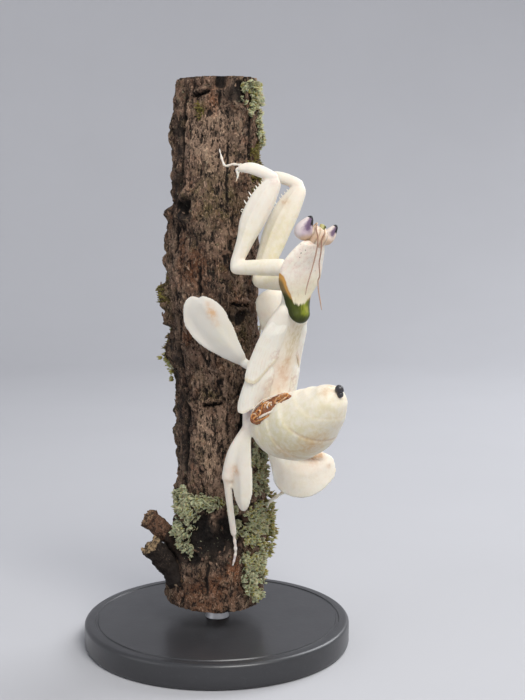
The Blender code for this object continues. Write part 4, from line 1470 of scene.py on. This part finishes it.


# Stains on the skin, and the painted shade on the lobes and the abdomen's lower side: middle, radius,
# strength
STAINS = {
    "amber": (
        (station(19.9, 58.4, 0.4), 1.5, 0.6), (station(19.5, 56.0, -0.8), 1.2, 0.5),
        (station(20.4, 60.2, -0.6), 1.0, 0.5), (station(19.3, 54.0, 0.6), 0.9, 0.4),
        ((-0.4, -14.6, 69.4), 0.8, 0.9), ((-0.1, -14.6, 68.3), 0.8, 0.8),
        ((0.6, -14.6, 67.0), 0.8, 0.5), ((-0.9, -14.4, 70.6), 0.6, 0.4), ((4.2, -15.0, 39.4), 0.6, 0.8),
        ((4.3, -15.1, 38.3), 0.65, 0.9), ((13.6, -8.5, 89.2), 0.8, 0.8), ((2.9, -14.2, 36.6), 0.8, 0.5),
        ((19.2, -1.6, 38.9), 1.5, 1.0), ((20.8, -1.4, 39.3), 1.2, 1.0), ((22.7, -1.1, 36.6), 0.45, 0.6),
        ((18.3, -24.6, 45.0), 2.6, 0.75), ((13.6, -21.0, 43.8), 2.4, 0.55),
        ((20.5, -25.6, 47.0), 1.6, 0.35), ((20.4, -25.6, 55.2), 0.9, 0.5),
        ((19.4, -24.6, 54.2), 0.8, 0.35), ((11.7, -13.8, 92.6), 1.0, 0.25),
        ((21.4, -24.7, 56.2), 1.4, 0.5), ((13.6, 0.2, 31.4), 0.9, 0.7), ((5.6, -14.4, 78.6), 0.5, 0.25),
        ((15.2, -9.0, 86.4), 0.5, 0.35), ((8.0, -13.8, 86.0), 0.5, 0.2),
        ((23.0, -26.5, 50.0), 1.8, 0.20),
    ),
    "green": (
        ((13.5, -22.5, 48.0), 5.5, 0.7), ((8.8, -19.0, 46.5), 4.0, 0.7), ((9.0, -16.0, 75.8), 4.0, 0.5),
        ((14.0, -10.0, 82.0), 6.0, 0.7), ((21.5, -25.5, 52.5), 4.0, 0.7),
        ((16.0, -3.0, 34.0), 5.0, 0.2), ((17.5, -23.0, 45.5), 5.0, 0.7),
        ((2.5, -14.2, 64.5), 2.4, 0.25), ((4.6, -15.0, 34.0), 4.0, 0.2), ((10.0, -9.0, 75.0), 4.0, 0.5),
        ((7.0, -14.5, 83.0), 2.6, 0.25),
    ),
    "rose": (
        (station(12.2, 48.8, 3.0), 1.8, 1.1), (station(12.6, 46.9, 3.0), 1.3, 0.8),
        (station(19.6, 56.5), 2.6, 0.9), (station(20.2, 59.5, 0.8), 1.6, 0.6),
        ((15.5, -8.5, 92.8), 2.0, 0.6), ((20.0, -2.0, 37.5), 3.5, 0.3), ((2.4, -13.8, 38.0), 2.4, 0.6),
        ((3.7, -10.6, 24.5), 3.2, 0.8), ((3.0, -10.0, 98.0), 3.4, 0.9), ((9.5, -17.0, 66.0), 3.0, 0.35),
        ((24.0, -26.0, 55.0), 3.0, 0.25), ((11.0, -13.6, 88.0), 3.0, 0.3),
    ),
    # Painted shade over the left petals, the left foreleg's femur and the abdomen's lower side
    "ash": (
        ((1.0, -13.8, 66.0), 5.5, 1.0), ((-2.5, -13.6, 70.0), 4.0, 0.8), ((4.5, -13.6, 61.0), 4.0, 0.9),
        ((5.2, -14.5, 43.0), 4.0, 0.6), ((5.6, -15.0, 34.5), 4.0, 0.45),
        ((8.0, -13.8, 86.0), 7.0, 0.35), ((17.5, -24.5, 44.0), 5.0, 0.6),
        ((22.0, -26.5, 47.5), 3.5, 0.4),
    ),
    "lilac": (
        ((6.2, -14.6, 49.4), 2.4, 0.85), ((3.8, -10.0, 20.5), 2.6, 0.7),
        ((11.5, -14.2, 93.6), 1.2, 0.5),
    ),
    "beige": ((HEAD_CENTRE, 3.4, 1.0), (HEAD_CENTRE - CROWN * 2, 2.4, 0.6)),
    "straw": (
        (station(21.9, 63.5, -0.8), 2.8, 0.8), (station(20.8, 60.0, -0.8), 2.2, 0.45),
        (station(22.8, 66.5, -0.4), 2.4, 0.7),
    ),
}


def stain(obj):
    """Marks the skin's stains and painted shade, the head's fine furrows and the grooves between the
    abdomen's plates.
    """
    points = corners_of(obj)
    for name, spots in STAINS.items():
        amount = np.zeros(len(points))
        for middle, radius, strength in spots:
            away = np.linalg.norm(points - np.array(middle), axis=1) / radius
            amount += strength * np.exp(-(away**2) * 0.9)
        marked(obj, **{name: np.minimum(amount, 1.0)})
    head = points - np.array(HEAD_CENTRE)
    lateral, upward = head @ np.array(HEAD_LEFT), head @ np.array(CROWN)
    lines = np.abs(np.sin(lateral * 3.3 + 0.35 * np.sin(upward * 2.1))) ** 9
    nearby = np.exp(-((np.linalg.norm(head, axis=1) / 2.9) ** 4))
    marked(obj, furrow=lines * nearby * 0.8)
    loft = abdomen()
    frames = [loft.frame(i / ABDOMEN_SLICES) for i in range(ABDOMEN_SLICES + 1)]
    tree = kdtree.KDTree(len(frames))
    for i, (centre, *_) in enumerate(frames):
        tree.insert(centre, i)
    tree.balance()
    grooves = []
    for point in points:
        here = Vector(point)
        if (here - ABDOMEN_HEART).length > ABDOMEN_REACH:
            grooves.append(0.0)
            continue
        centre, index, away = tree.find(here)
        share, (_, _, up, _, _, low, high) = index / ABDOMEN_SLICES, frames[index]
        rise = (here - centre).dot(up)
        lean = share + SEGMENT_SLANT * rise / max(0.5, high if rise > 0 else low)
        line = max(bell(lean, end, 0.008) * mark for end, mark in zip(SEGMENT_ENDS, SEGMENT_MARKS))
        fade = 0.15 + 0.85 * smooth(rise / max(0.5, high), 0.05, -0.35)
        grooves.append(line * fade * smooth(share, 0.08, 0.14) * smooth(away, 7.6, 7.0))
    marked(obj, groove=grooves)


def skin():
    """The flesh of head, trunk and legs as one unbroken skin; the spines and claws stay apart."""
    flesh, hard = all_legs()
    obj = joined(trunk() + flesh, "skin")
    worked(obj, "REMESH", mode="VOXEL", voxel_size=sizes().grain, use_smooth_shade=True)
    worked(obj, "SMOOTH", factor=0.5, iterations=5)
    for name in [a.name for a in obj.data.attributes if a.name in ("along", "across")]:
        obj.data.attributes.remove(obj.data.attributes[name])
    stain(obj)
    softened(obj)
    nodes = ["head", "prothorax", "mesothorax", "metathorax", "abdomen"]
    for pair in ("fore", "mid", "hind"):
        for _, which in SIDES:
            nodes += [f"{bone}_{pair}_{which}" for bone in ("coxa", "femur", "tibia", "tarsus")]
    shown(obj, "cuticle", cuticle(), *nodes)
    for which, pieces in hard.items():
        spines = joined(pieces, "spines_" + which)
        finish = Finish("spine_" + which, Roughness=0.35, **FLESH)
        tip = (finish.mark("along") + finish.noise(0.3) * 0.2).step(0.85, 1.1)
        cream = tint("cream")
        finish.ground(tip * 0.8, scaled(cream, 0.97), tint("amber"))
        finish.into(Normal=finish.bump(finish.noise(0.15), 0.00002))
        shown(spines, "cuticle", finish.material, f"femur_fore_{which}", f"tibia_fore_{which}")


# ---------------------------------------------------------------- plates, eyes and feelers

def shield():
    """The pronotum's shield: a kite with a raised rim that turns green behind."""
    def keeled(share, x, y):
        wide = max(0.2, along(SHIELD_WIDTHS, share))
        across = x / wide
        rim = smooth(abs(across), 0.86, 0.98) * smooth(share, 0.25, 0.45)
        keel = 0.10 * bell(across, 0, 0.14) * smooth(share, 0.3, 0.7)
        dent = 0.07 * bell(abs(across), 0.40, 0.2) * bell(share, 0.55, 0.12)
        pebbled = 0.05 * noise.noise(Vector((x * 0.9, share * 14, 2)))
        rise = (rim * 0.18 + keel - dent + pebbled) if y > 0 else 0
        return x, y + rise, 0.0

    belly = [0.35] * len(SHIELD_WIDTHS)
    sheet = Loft(SHIELD_SPINE, SHIELD_WIDTHS, belly, LEFT, (0.03, 0.10), 0.88, SHIELD_BACK, keeled)
    obj = sheet.built("shield", 120, 110)
    obj.data.materials.append(shield_finish())
    marked(obj, hem=[past_hem(*place) for place in zip(read_mark(obj, "along"), read_mark(obj, "across"))])
    shown(obj, "cuticle", None, "prothorax")


HEM_SHARE = 0.78  # where the hem crosses the shield, as a share of its length
HEM_MIDDLE = 0.2  # where across the shield it lies furthest back
HEM_ARM = 0.59  # how far forward it runs along the left side
HEM_ARM_FROM = 0.66  # where across the shield that arm begins


def past_hem(share, across):
    """How far behind the hem's front edge a place on the shield lies, as a share of the shield's length."""
    off = (0.10 if across < HEM_MIDDLE else 0.04) * min(1.0, abs(across - HEM_MIDDLE) / 0.9) ** 1.2
    arm = max(0.0, across - HEM_ARM_FROM) / (1 - HEM_ARM_FROM)
    return share - HEM_SHARE + off + HEM_ARM * arm**1.2 * smooth(share, 0.27, 0.53)


def shield_finish():
    """Pinkish cream in front, greenish beige behind, with an orange to green rim and a green end, whose
    middle has a painted highlight and whose edges and tip have painted shade.
    """
    finish = Finish("shield", Specular_IOR_Level=0.35, **FLESH)
    share, across, past = finish.mark("along"), finish.mark("across"), finish.mark("hem")
    ragged = finish.noise(0.9, 4) - 0.5
    fine = finish.noise(0.3, 4)
    blotch = finish.noise(1.0, 5, 0.6)
    streaks = finish.noise(0.42, 4, 0.6, finish.place((1, 1, 7)))
    cream, amber, lime, moss = tint("cream"), tint("amber"), tint("lime"), tint("moss_green")
    finish.ground(blotch.step(0.38, 0.68) * 0.75, cream, tint("shell_pink"))
    behind = (share - across * 0.10 + ragged * 0.12).step(0.30, 0.66)
    finish.over(behind * 0.5, tint("leaf_tint"))
    finish.over(streaks.step(0.50, 0.70) * behind * 0.4, scaled(tint("leaf_tint"), 0.75))
    finish.over(streaks.step(0.46, 0.30) * 0.14, amber)
    near = (past + ragged * 0.03).step(-0.07, -0.01) * share.step(0.40, 0.50)
    finish.over(near * share.step(0.72, 0.62) * 0.40, amber)
    mottle = finish.noise(0.7, 5, 0.7).step(0.50, 0.66) * share.step(0.62, 0.30)
    finish.over(mottle * 0.35, mixed(amber, tint("lilac")))
    golden = filtered(amber, (1.05, 0.95, 0.5))
    olive = mixed(amber, moss, 0.36, 0.5)
    orange = finish.blend((past + ragged * 0.06).step(0.15, 0.30), golden, olive)
    # Painted highlight: lime lights the middle of the green end
    away = (across + 0.15).size()
    painted_highlight = (away + ragged * 0.5).step(0.62, 0.10) * share.step(0.985, 0.90)
    green = finish.blend(painted_highlight, moss, lime)
    green = finish.blend(streaks.step(0.46, 0.62) * 0.65, green, scaled(moss, 0.7))
    # Painted highlight: a paler spot on the green end
    spot = (share - 0.85) ** 2 * 120.0 + (across + 0.3) ** 2 * 5.0
    green = finish.blend(spot.step(0.5, 0.0) * 0.5, green, filtered(lime, (1.5, 1.25, 3.0)))
    # Painted shade: the green end darkens towards its edges and its tip
    painted_end_shade = (share + ragged * 0.03).step(0.93, 0.98)
    painted_rim_shade = (across.size() + ragged * 0.2).step(0.72, 0.98).at_least(painted_end_shade)
    green = finish.blend(painted_rim_shade * 0.7, green, scaled(moss, 0.4))
    edge = finish.blend((share + past * 0.2 + ragged * 0.10).step(0.64, 0.76), orange, green)
    finish.over((past + ragged * 0.03 + (streaks - 0.5) * 0.14).step(-0.022, 0.024), edge)
    specks = finish.cells(0.85).step(0.20, 0.12) * finish.noise(1.7).step(0.50, 0.58)
    front = share.step(0.46, 0.32)
    finish.over(specks * front * 0.85, scaled(amber, 0.25))
    relief = fine * 0.35 + streaks * 0.4 + blotch * 0.5
    return finish.into(Roughness=0.34 + fine * 0.2, Normal=finish.bump(relief, 0.00007))


def wing_pad(name, side, start, reach, base, flare, slope=0.0, notch=0.0):
    """One petal-like wing pad: a sheet that grows out of the thorax's back and stands off it behind."""
    deselect()
    bpy.ops.mesh.primitive_grid_add(x_subdivisions=48, y_subdivisions=80, size=1)
    obj = added(name)
    points, runs, fans = [], [], []
    for vertex in obj.data.vertices:
        fan, run = vertex.co.x + 0.5, vertex.co.y + 0.5
        end = 1 - slope * (1 - smooth(fan, 0.12, 0.72)) - notch * bell(fan, 0.55, 0.16)
        corner = math.sqrt(max(0.0, 1 - (max(0.0, run - 0.72) / 0.31) ** 2))
        angle = math.radians(77 - 88 * fan * (0.72 + 0.28 * corner) * (1 - 0.30 * (1 - run) ** 3))
        share = start + reach * run * end
        heading = (along(THORAX_SPINE, share + 0.02) - along(THORAX_SPINE, share - 0.02)).normalized()
        up = LEFT.cross(heading)
        rooted = smooth(run, 0.0, 0.35)
        stand = ((base + 0.25) * smooth(fan, 0.0, 0.32) - 0.25) * rooted - 0.30 * (1 - rooted)
        stand += flare * smooth(fan, 0.1, 0.9) * run**2
        stand += 0.010 * math.cos(fan * 40 + run * 3) * smooth(run, 0.15, 0.5) * smooth(fan, 0.1, 0.3)
        stand += 0.07 * noise.noise(Vector((fan * 5, run * 4, side + start * 9)))
        across = math.cos(angle) * (along(THORAX_WIDTHS, share) + stand)
        rise = math.sin(angle)
        rise *= (along(THORAX_ROOF, share) if rise > 0 else along(THORAX_BELLY, share)) + stand
        points.append(along(THORAX_SPINE, share) + LEFT * side * across + up * rise)
        runs.append(run)
        fans.append(fan)
    moved_to(obj, points)
    marked(obj, run=runs, fan=fans)
    mended(obj)
    out = sum((v.normal.dot(OUT) for v in obj.data.vertices), 0.0)
    if out < 0:
        obj.data.flip_normals()
    worked(obj, "SOLIDIFY", thickness=sizes().pad_wall, offset=-1)
    bevelled(obj, sizes().pad_wall * 0.4, 2, 60)
    softened(obj)
    return obj


def pad_finish(name, spot_run, spot_fan, hem):
    """Waxy white with faint veins, a yellow hem and brown-pink mottling round one spot."""
    finish = Finish(name, Roughness=0.42, **FLESH)
    run, fan = finish.mark("run"), finish.mark("fan")
    cream, pink, straw, amber = tint("cream"), tint("shell_pink"), tint("straw"), tint("amber")
    fine, broad, blotch = finish.noise(0.3, 4), finish.noise(1.7, 4), finish.noise(0.9, 5, 0.65)
    veins = ((fan + finish.noise(3.0) * 0.06) * 80.0).wave() * 0.5 + 0.5
    finish.ground(broad.step(0.45, 0.7) * 0.32, cream, pink)
    finish.over(blotch.step(0.5, 0.75) * 0.25, mixed(cream, tint("leaf_tint")))
    finish.over((veins * 0.6 + broad * 0.4).step(0.72, 0.9) * 0.18, amber)
    finish.over((fan + blotch * 0.1).step(0.30, 0.05) * 0.5, straw)
    finish.over((run + (broad - 0.5) * 0.03).step(0.945, 0.985) * hem, straw)
    near = (run - spot_run) ** 2 * 9.0 + (fan - spot_fan) ** 2 * 7.0
    mottle = near.step(0.55, 0.0) * blotch.step(0.40, 0.62)
    finish.over(mottle * 0.55, mixed(amber, tint("lilac")))
    relief = fine * 0.3 + veins * 0.25 + blotch * 0.4
    return finish.into(Roughness=0.36 + fine * 0.2, Normal=finish.bump(relief, 0.00006))


def wing_pads():
    """Both pairs of wing pads, the fore pair over the hind pair."""
    for side, which in SIDES:
        fore_flare, hind_flare = (0.75, 0.95) if side > 0 else (0.05, 0.30)
        base = 0.38 if side > 0 else 0.28
        fore = wing_pad("pad_fore_" + which, side, 0.12, 0.57, base, fore_flare, slope=0.33)
        material = pad_finish("fore_pad_" + which, spot_run=0.92, spot_fan=0.22, hem=0.55)
        shown(fore, "cuticle", material, "wing_pad_fore_" + which)
        hind = wing_pad("pad_hind_" + which, side, 0.50, 0.47, base + 0.17, hind_flare, notch=0.14)
        material = pad_finish("hind_pad_" + which, spot_run=0.42, spot_fan=0.15, hem=0.25)
        shown(hind, "cuticle", material, "wing_pad_hind_" + which)


# Each eye's low end, middle and tip, as distances to the head's left, up and back
EYE_PLACES = {
    "left": ((2.66, -1.50, -0.14), (2.86, 0.50, 0.10), (2.38, 3.26, 0.22)),
    "right": ((-1.55, -0.75, -0.15), (-2.30, 1.25, -0.10), (-2.95, 3.50, 0.10)),
}
EYE_WIDTHS = {"left": [1.30, 1.62, 0.38], "right": [0.98, 1.20, 0.34]}


def in_head(left, up, back):
    return HEAD_CENTRE + HEAD_LEFT * left + CROWN * up + HEAD_BACK * back


def eyes():
    """Pointed eyes: lilac and white, with a purple streak down from the black tip."""
    for which, places in EYE_PLACES.items():
        widths = EYE_WIDTHS[which]
        spine = [in_head(*place) for place in places]
        loft = Loft(spine, widths, [w * 1.04 for w in widths], HEAD_LEFT, (0.30, 0.10))
        obj = loft.built("eyeball_" + which, 90, 64)
        flesh = FLESH | {"Subsurface_Weight": 0.10, "Subsurface_Scale": 0.0003}
        finish = Finish("eye_" + which, Specular_IOR_Level=0.25, **flesh)
        share, across = finish.mark("along"), finish.mark("across")
        ragged = finish.noise(0.5, 4) - 0.5
        facets = finish.cells(0.10, feature="DISTANCE_TO_EDGE")
        milk = mixed(tint("cream"), tint("lilac"), 0.6, 0.4)
        ground = tint("lilac") if which == "left" else tint("shell_pink")
        finish.ground((share + across * 0.16 + ragged * 0.15).step(0.16, 0.40), tint("beige"), ground)
        finish.over((across + ragged * 0.3).step(0.35, 0.85) * 0.75, milk)
        streak = ((across - 0.12).size() + ragged * 0.40).step(0.70, 0.20)
        streak *= share.step(0.34, 0.62)
        finish.over(streak * 0.95, scaled(tint("violet"), 0.8))
        spot = (share - 0.53) ** 2 * 70.0 + (across - 0.08) ** 2 * 9.0
        finish.over(spot.step(0.5, 0.0) * 0.75, tint("violet"))
        tip = (share + ragged * 0.04).step(0.885, 0.905)
        wedge = (across + ragged * 0.25).step(0.0, -0.14)
        wedge *= (share + ragged * 0.1).step(0.66, 0.74)
        arc = (across - share * -2.2 - 2.45).size().step(0.10, 0.03) * share.step(0.84, 0.87)
        finish.over(tip.at_least(wedge).at_least(arc * 0.8), scaled(tint("black"), 0.5))
        finish.over(facets.step(0.04, 0.0) * 0.10, tint("violet"))
        finish.into(Roughness=0.42 + ragged * 0.1, Normal=finish.bump(facets, 0.00003))
        shown(obj, "eye", finish.material, "eye_" + which)


def horn():
    """The little yellow-green horn between the eyes, with a dark edge."""
    spine = [in_head(0.0, 0.4, 1.15), in_head(-0.12, 1.4, 0.95), in_head(-0.26, 2.55, 0.45)]
    obj = Loft(spine, [0.45, 0.52, 0.72], [0.4, 0.42, 0.36], HEAD_LEFT, (0, 0.14)).built("horn", 30, 28)
    finish = Finish("horn", Roughness=0.4, **FLESH)
    across = finish.mark("across") + (finish.noise(0.4) - 0.5) * 0.5
    yellow = mixed(tint("lime"), tint("straw"))
    finish.ground(across.step(0.15, -0.35), yellow, tint("moss_green"))
    finish.over(finish.mark("along").step(0.18, 0.02) * 0.6, tint("beige"))
    finish.into(Normal=finish.bump(finish.noise(0.2), 0.00004))
    shown(obj, "cuticle", finish.material, "head")


# The feelers' ways down the back, in the mantis's midplane and to its left
FEELER_ROUTES = {
    "left": (
        (29.1, 84.6, 0.7), (30.03, 82.63, 1.20), (29.76, 80.52, 1.33), (28.99, 77.57, 1.58),
        (28.15, 74.61, 1.92), (27.59, 72.69, 1.94),
    ),
    "right": (
        (29.72, 83.92, -0.88), (30.0, 82.79, 0.16), (30.03, 80.51, 0.42), (29.68, 78.4, 0.51),
        (29.48, 76.28, 0.14), (28.98, 75.21, 0.09), (28.78, 73.26, -0.28), (28.79, 71.35, -0.74),
        (28.8, 69.82, -1.05),
    ),
}


def feelers():
    """Two ringed thread-like feelers, from the front of the head over the crown and down the back."""
    finish = Finish("feeler", Roughness=0.5, **FLESH)
    share = finish.mark("along")
    rings = (share * 420.0).wave() * 0.5 + 0.5
    rust, pink = tint("rust"), tint("shell_pink")
    brown = mixed(rust, pink, 0.7, 0.15)
    finish.ground(share.step(0.2, 0.9) * 0.4, brown, pink)
    finish.over(rings * 0.4, scaled(rust, 0.7))
    finish.over(share.step(0.24, 0.17) * 0.9, tint("beige"))
    finish.into(Normal=finish.bump(rings, 0.00003))
    for side, which in SIDES:
        base = in_head(0.75 * side, 0.9, -2.3)
        top = in_head(0.75 * side - 0.25, 2.55, -0.9)
        spine = [base, top] + stations(*FEELER_ROUTES[which])
        root = sizes().feeler / MM
        thick = [root * 1.3] + [root] * (len(spine) - 2) + [root * 0.5]
        obj = Loft(spine, thick, thick, HEAD_LEFT, (0, 0.01)).built("feeler_" + which, 96, 12)
        shown(obj, "feeler", finish.material, "antenna_" + which)


# The folded back plates lie in a cleft. Places on its wall: along the cleft, and up it.
FOLDS_START = Vector((7.08, -16.7, 49.18))
FOLDS_RUN = Vector((0.745, -0.449, 0.490)).normalized()
FOLDS_OUT = Vector((-0.649, -0.654, 0.388)).normalized()
FOLDS_UP = FOLDS_OUT.cross(FOLDS_RUN)
# Ridges: points, radius, tone (0 rust to 1 cream), and whether the ridge closes on itself
FOLD_RIDGES = (
    (
        ((0.15, -0.55), (0.55, 0.15), (1.15, 0.30), (1.45, -0.25), (0.95, -0.65), (0.45, -0.45)),
        0.14, 0.62, False,
    ),
    (((1.6, -0.45), (1.55, 0.15), (2.15, 0.55), (2.75, 0.20), (2.65, -0.40), (2.1, -0.55)), 0.14, 0.62, True),
    (((2.75, 1.8), (3.1, 2.1), (3.45, 1.85), (3.1, 1.5)), 0.11, 0.6, True),
    (((2.9, -0.35), (3.1, 0.55), (3.9, 1.25), (4.9, 1.45)), 0.13, 0.55, False),
    (((3.35, -0.30), (3.65, 0.35), (4.4, 1.00), (5.2, 1.30)), 0.13, 0.70, False),
    (((3.85, -0.25), (4.1, 0.30), (4.7, 0.85), (5.3, 1.20)), 0.12, 0.45, False),
    (((4.35, -0.20), (4.5, 0.25), (4.95, 0.75), (5.4, 1.15)), 0.13, 0.80, False),
    (((4.9, -0.15), (4.95, 0.25), (5.2, 0.70), (5.45, 1.10)), 0.12, 0.50, False),
    (((5.45, -0.10), (5.4, 0.30), (5.45, 0.70), (5.5, 1.05)), 0.13, 0.75, False),
    (((6.0, -0.05), (5.85, 0.30), (5.75, 0.70), (5.6, 1.05)), 0.12, 0.55, False),
    (
        (
            (6.35, 0.25), (7.0, 0.85), (8.2, 1.00), (9.3, 0.75), (9.5, 0.35), (8.6, 0.02), (7.3, -0.05),
            (6.6, 0.0),
        ),
        0.14, 0.62, True,
    ),
    (((6.9, 0.50), (7.9, 0.66), (9.0, 0.50), (8.0, 0.36)), 0.14, 0.35, True),
    (
        ((1.25, -0.85), (3.0, -1.05), (5.0, -1.15), (6.5, -1.15), (8.2, -1.00), (9.75, -0.80)),
        0.19, 0.86, False,
    ),
    (((0.9, -1.15), (2.5, -1.55), (4.5, -1.60), (6.5, -1.50)), 0.13, 0.60, False),
    (((2.4, -2.05), (4.2, -2.20), (6.2, -2.10), (7.8, -1.85)), 0.17, 0.92, False),
    (
        ((0.3, 0.60), (1.2, 1.30), (2.4, 1.70), (4.0, 1.90), (5.6, 1.75), (7.2, 1.60), (8.8, 1.45)),
        0.12, 0.84, False,
    ),
)


def in_folds(along_it, up_it, out):
    """A place in the cleft, in millimetres."""
    return FOLDS_START + FOLDS_RUN * along_it + FOLDS_UP * up_it + FOLDS_OUT * out


def fold_ridge(points, radius, tone, closes):
    """One rolled rim of a folded plate, with its tone."""
    path = list(points) + [points[0]] * closes
    spine = [in_folds(a, b, 0.30 + 0.10 * math.sin(a * 3 + b)) for a, b in path]
    if not closes:
        spine[0] -= FOLDS_OUT * 0.5
        spine[-1] -= FOLDS_OUT * 0.5
    thin = [radius] * len(spine)
    ridge = Loft(spine, thin, [r * 1.25 for r in thin], FOLDS_OUT, (0.03, 0.03)).built("ridge", 44, 10)
    return marked(ridge, tone=[tone] * len(ridge.data.vertices))


def back_folds():
    """The crumpled plates between the wing pads and the abdomen: a dark bed and rolled, pale rims."""
    def crumpled(share, x, y):
        fold = noise.noise(Vector((x * 1.5, y * 1.5, share * 22))) * 0.30
        return x + fold * 0.3, y + fold, 0.0

    places = ((-0.3, -0.4), (2.6, -0.1), (5.2, 0.1), (7.8, 0.2), (10.2, -0.2))
    spine, widths = [in_folds(a, b, -0.45) for a, b in places], [1.0, 1.95, 1.9, 1.45, 0.4]
    bed = Loft(spine, widths, [0.7] * 5, FOLDS_UP, (0.1, 0.1), shape=crumpled)
    pieces = [bed.built("bed", 110, 40)]
    marked(pieces[0], tone=[0.16] * len(pieces[0].data.vertices))
    pieces += [fold_ridge(*ridge) for ridge in FOLD_RIDGES]
    obj = joined(pieces, "back_folds")
    finish = Finish("folded back plates", Roughness=0.35, **FLESH)
    tone = finish.mark("tone") + (finish.noise(0.5, 4) - 0.5) * 0.9
    rust, caramel, cream = tint("rust"), tint("caramel"), tint("cream")
    finish.ground(tone.step(-0.12, 0.10), scaled(rust, 0.5), rust)
    finish.over(tone.step(0.15, 0.50), caramel)
    finish.over(tone.step(0.58, 0.85) * 0.85, cream)
    finish.into(Normal=finish.bump(finish.noise(0.2, 3), 0.00004))
    shown(obj, "feeler", finish.material, "abdomen")


# The lobes of the abdomen's point: middle and radius
REAR_LOBES = (((23.08, -25.8, 56.05), 0.80), ((23.25, -25.8, 55.1), 0.62))


def rear_point():
    """The black, two-lobed point of the abdomen."""
    pieces = []
    for heart, size in REAR_LOBES:
        deselect()
        place = Vector(heart)
        bpy.ops.mesh.primitive_uv_sphere_add(
            segments=36, ring_count=20, radius=size * MM, location=place * MM
        )
        lobe = added("lobe")
        points = corners_of(lobe)
        centre = np.array(place)
        moved_to(lobe, [centre + (p - centre) * (1 + 0.14 * noise.noise(Vector(p) * 1.3)) for p in points])
        pieces.append(lobe)
    obj = joined(pieces, "rear_point")
    softened(obj)
    finish = Finish("black point", Roughness=0.35, Coat_Weight=0.3, Coat_Roughness=0.2)
    grain = finish.noise(0.25, 4)
    black = tint("black")
    finish.ground(grain, black, scaled(black, 2.5))
    finish.into(Normal=finish.bump(grain, 0.00006))
    shown(obj, "black_tip", finish.material, "abdomen_tip")


# ---------------------------------------------------------------- operators

def steps(*makers):
    """An execute method that runs its makers in turn."""
    def execute(self, context):
        for maker in makers:
            maker()
        return {"FINISHED"}

    return execute


class MANTIS_OT_stage(bpy.types.Operator):
    """Adds the sweep, the soft boxes and the camera"""
    bl_idname = "mantis.stage"
    bl_label = "Stage"

    def execute(self, context):
        sweep()
        lamp("key", (0.16, -0.36, 0.52), size=0.30, power=3.0, warmth=(1.0, 0.99, 0.96))
        lamp("fill", (-0.45, -0.25, 0.25), size=0.40, power=0.45, warmth=(0.95, 0.97, 1.0))
        lamp("window", (0.34, 0.30, 0.42), size=0.35, power=2.2, warmth=(0.95, 0.97, 1.0))
        camera()
        daylight()
        return {"FINISHED"}


class MANTIS_OT_stand(bpy.types.Operator):
    """Turns the stand's disc and pin"""
    bl_idname = "mantis.stand"
    bl_label = "Stand"
    execute = steps(stand_base, stand_rod)


class MANTIS_OT_branch(bpy.types.Operator):
    """Models the branch's bark, sawn ends, twig stubs and loose flakes"""
    bl_idname = "mantis.branch"
    bl_label = "Branch"
    execute = steps(branch_bark, twigs, bark_flakes)


class MANTIS_OT_growth(bpy.types.Operator):
    """Grows lichen and moss on the bark"""
    bl_idname = "mantis.growth"
    bl_label = "Lichen and moss"
    execute = steps(lichen, moss)


class MANTIS_OT_skin(bpy.types.Operator):
    """Models the mantis's skin, with its spines and claws"""
    bl_idname = "mantis.skin"
    bl_label = "Skin"
    execute = steps(skin)


class MANTIS_OT_plates(bpy.types.Operator):
    """Models the shield, the wing pads, the folded back plates and the abdomen's point"""
    bl_idname = "mantis.plates"
    bl_label = "Plates"
    execute = steps(shield, wing_pads, back_folds, rear_point)


class MANTIS_OT_head(bpy.types.Operator):
    """Models the eyes, the horn and the feelers"""
    bl_idname = "mantis.head"
    bl_label = "Eyes and feelers"
    execute = steps(eyes, horn, feelers)


OPERATORS = (
    MANTIS_OT_stage, MANTIS_OT_stand, MANTIS_OT_branch, MANTIS_OT_growth, MANTIS_OT_skin, MANTIS_OT_plates,
    MANTIS_OT_head,
)


class MANTIS_PT_model(bpy.types.Panel):
    """The model's sizes, colours and pieces"""
    bl_idname = "MANTIS_PT_model"
    bl_label = "Orchid mantis"
    bl_space_type = "VIEW_3D"
    bl_region_type = "UI"
    bl_category = "Mantis"

    def draw(self, context):
        for settings in (context.scene.mantis_sizes, context.scene.mantis_colours):
            box = self.layout.box()
            for name in settings.__annotations__:
                box.prop(settings, name)
        for operator in OPERATORS:
            self.layout.operator(operator.bl_idname)


CLASSES = (MantisSizes, MantisColours, *OPERATORS, MANTIS_PT_model)


def register():
    """Also sets the seed of noise_vector(), which would otherwise differ from run to run."""
    noise.seed_set(BARK_SEED)
    for cls in CLASSES:
        bpy.utils.register_class(cls)
    bpy.types.Scene.mantis_sizes = bpy.props.PointerProperty(type=MantisSizes)
    bpy.types.Scene.mantis_colours = bpy.props.PointerProperty(type=MantisColours)


def unregister():
    del bpy.types.Scene.mantis_colours
    del bpy.types.Scene.mantis_sizes
    for cls in reversed(CLASSES):
        bpy.utils.unregister_class(cls)


def main():
    """Builds every piece in order."""
    register()
    for operator in OPERATORS:
        group, name = operator.bl_idname.split(".")
        getattr(getattr(bpy.ops, group), name)()


if __name__ == "__main__":
    main()
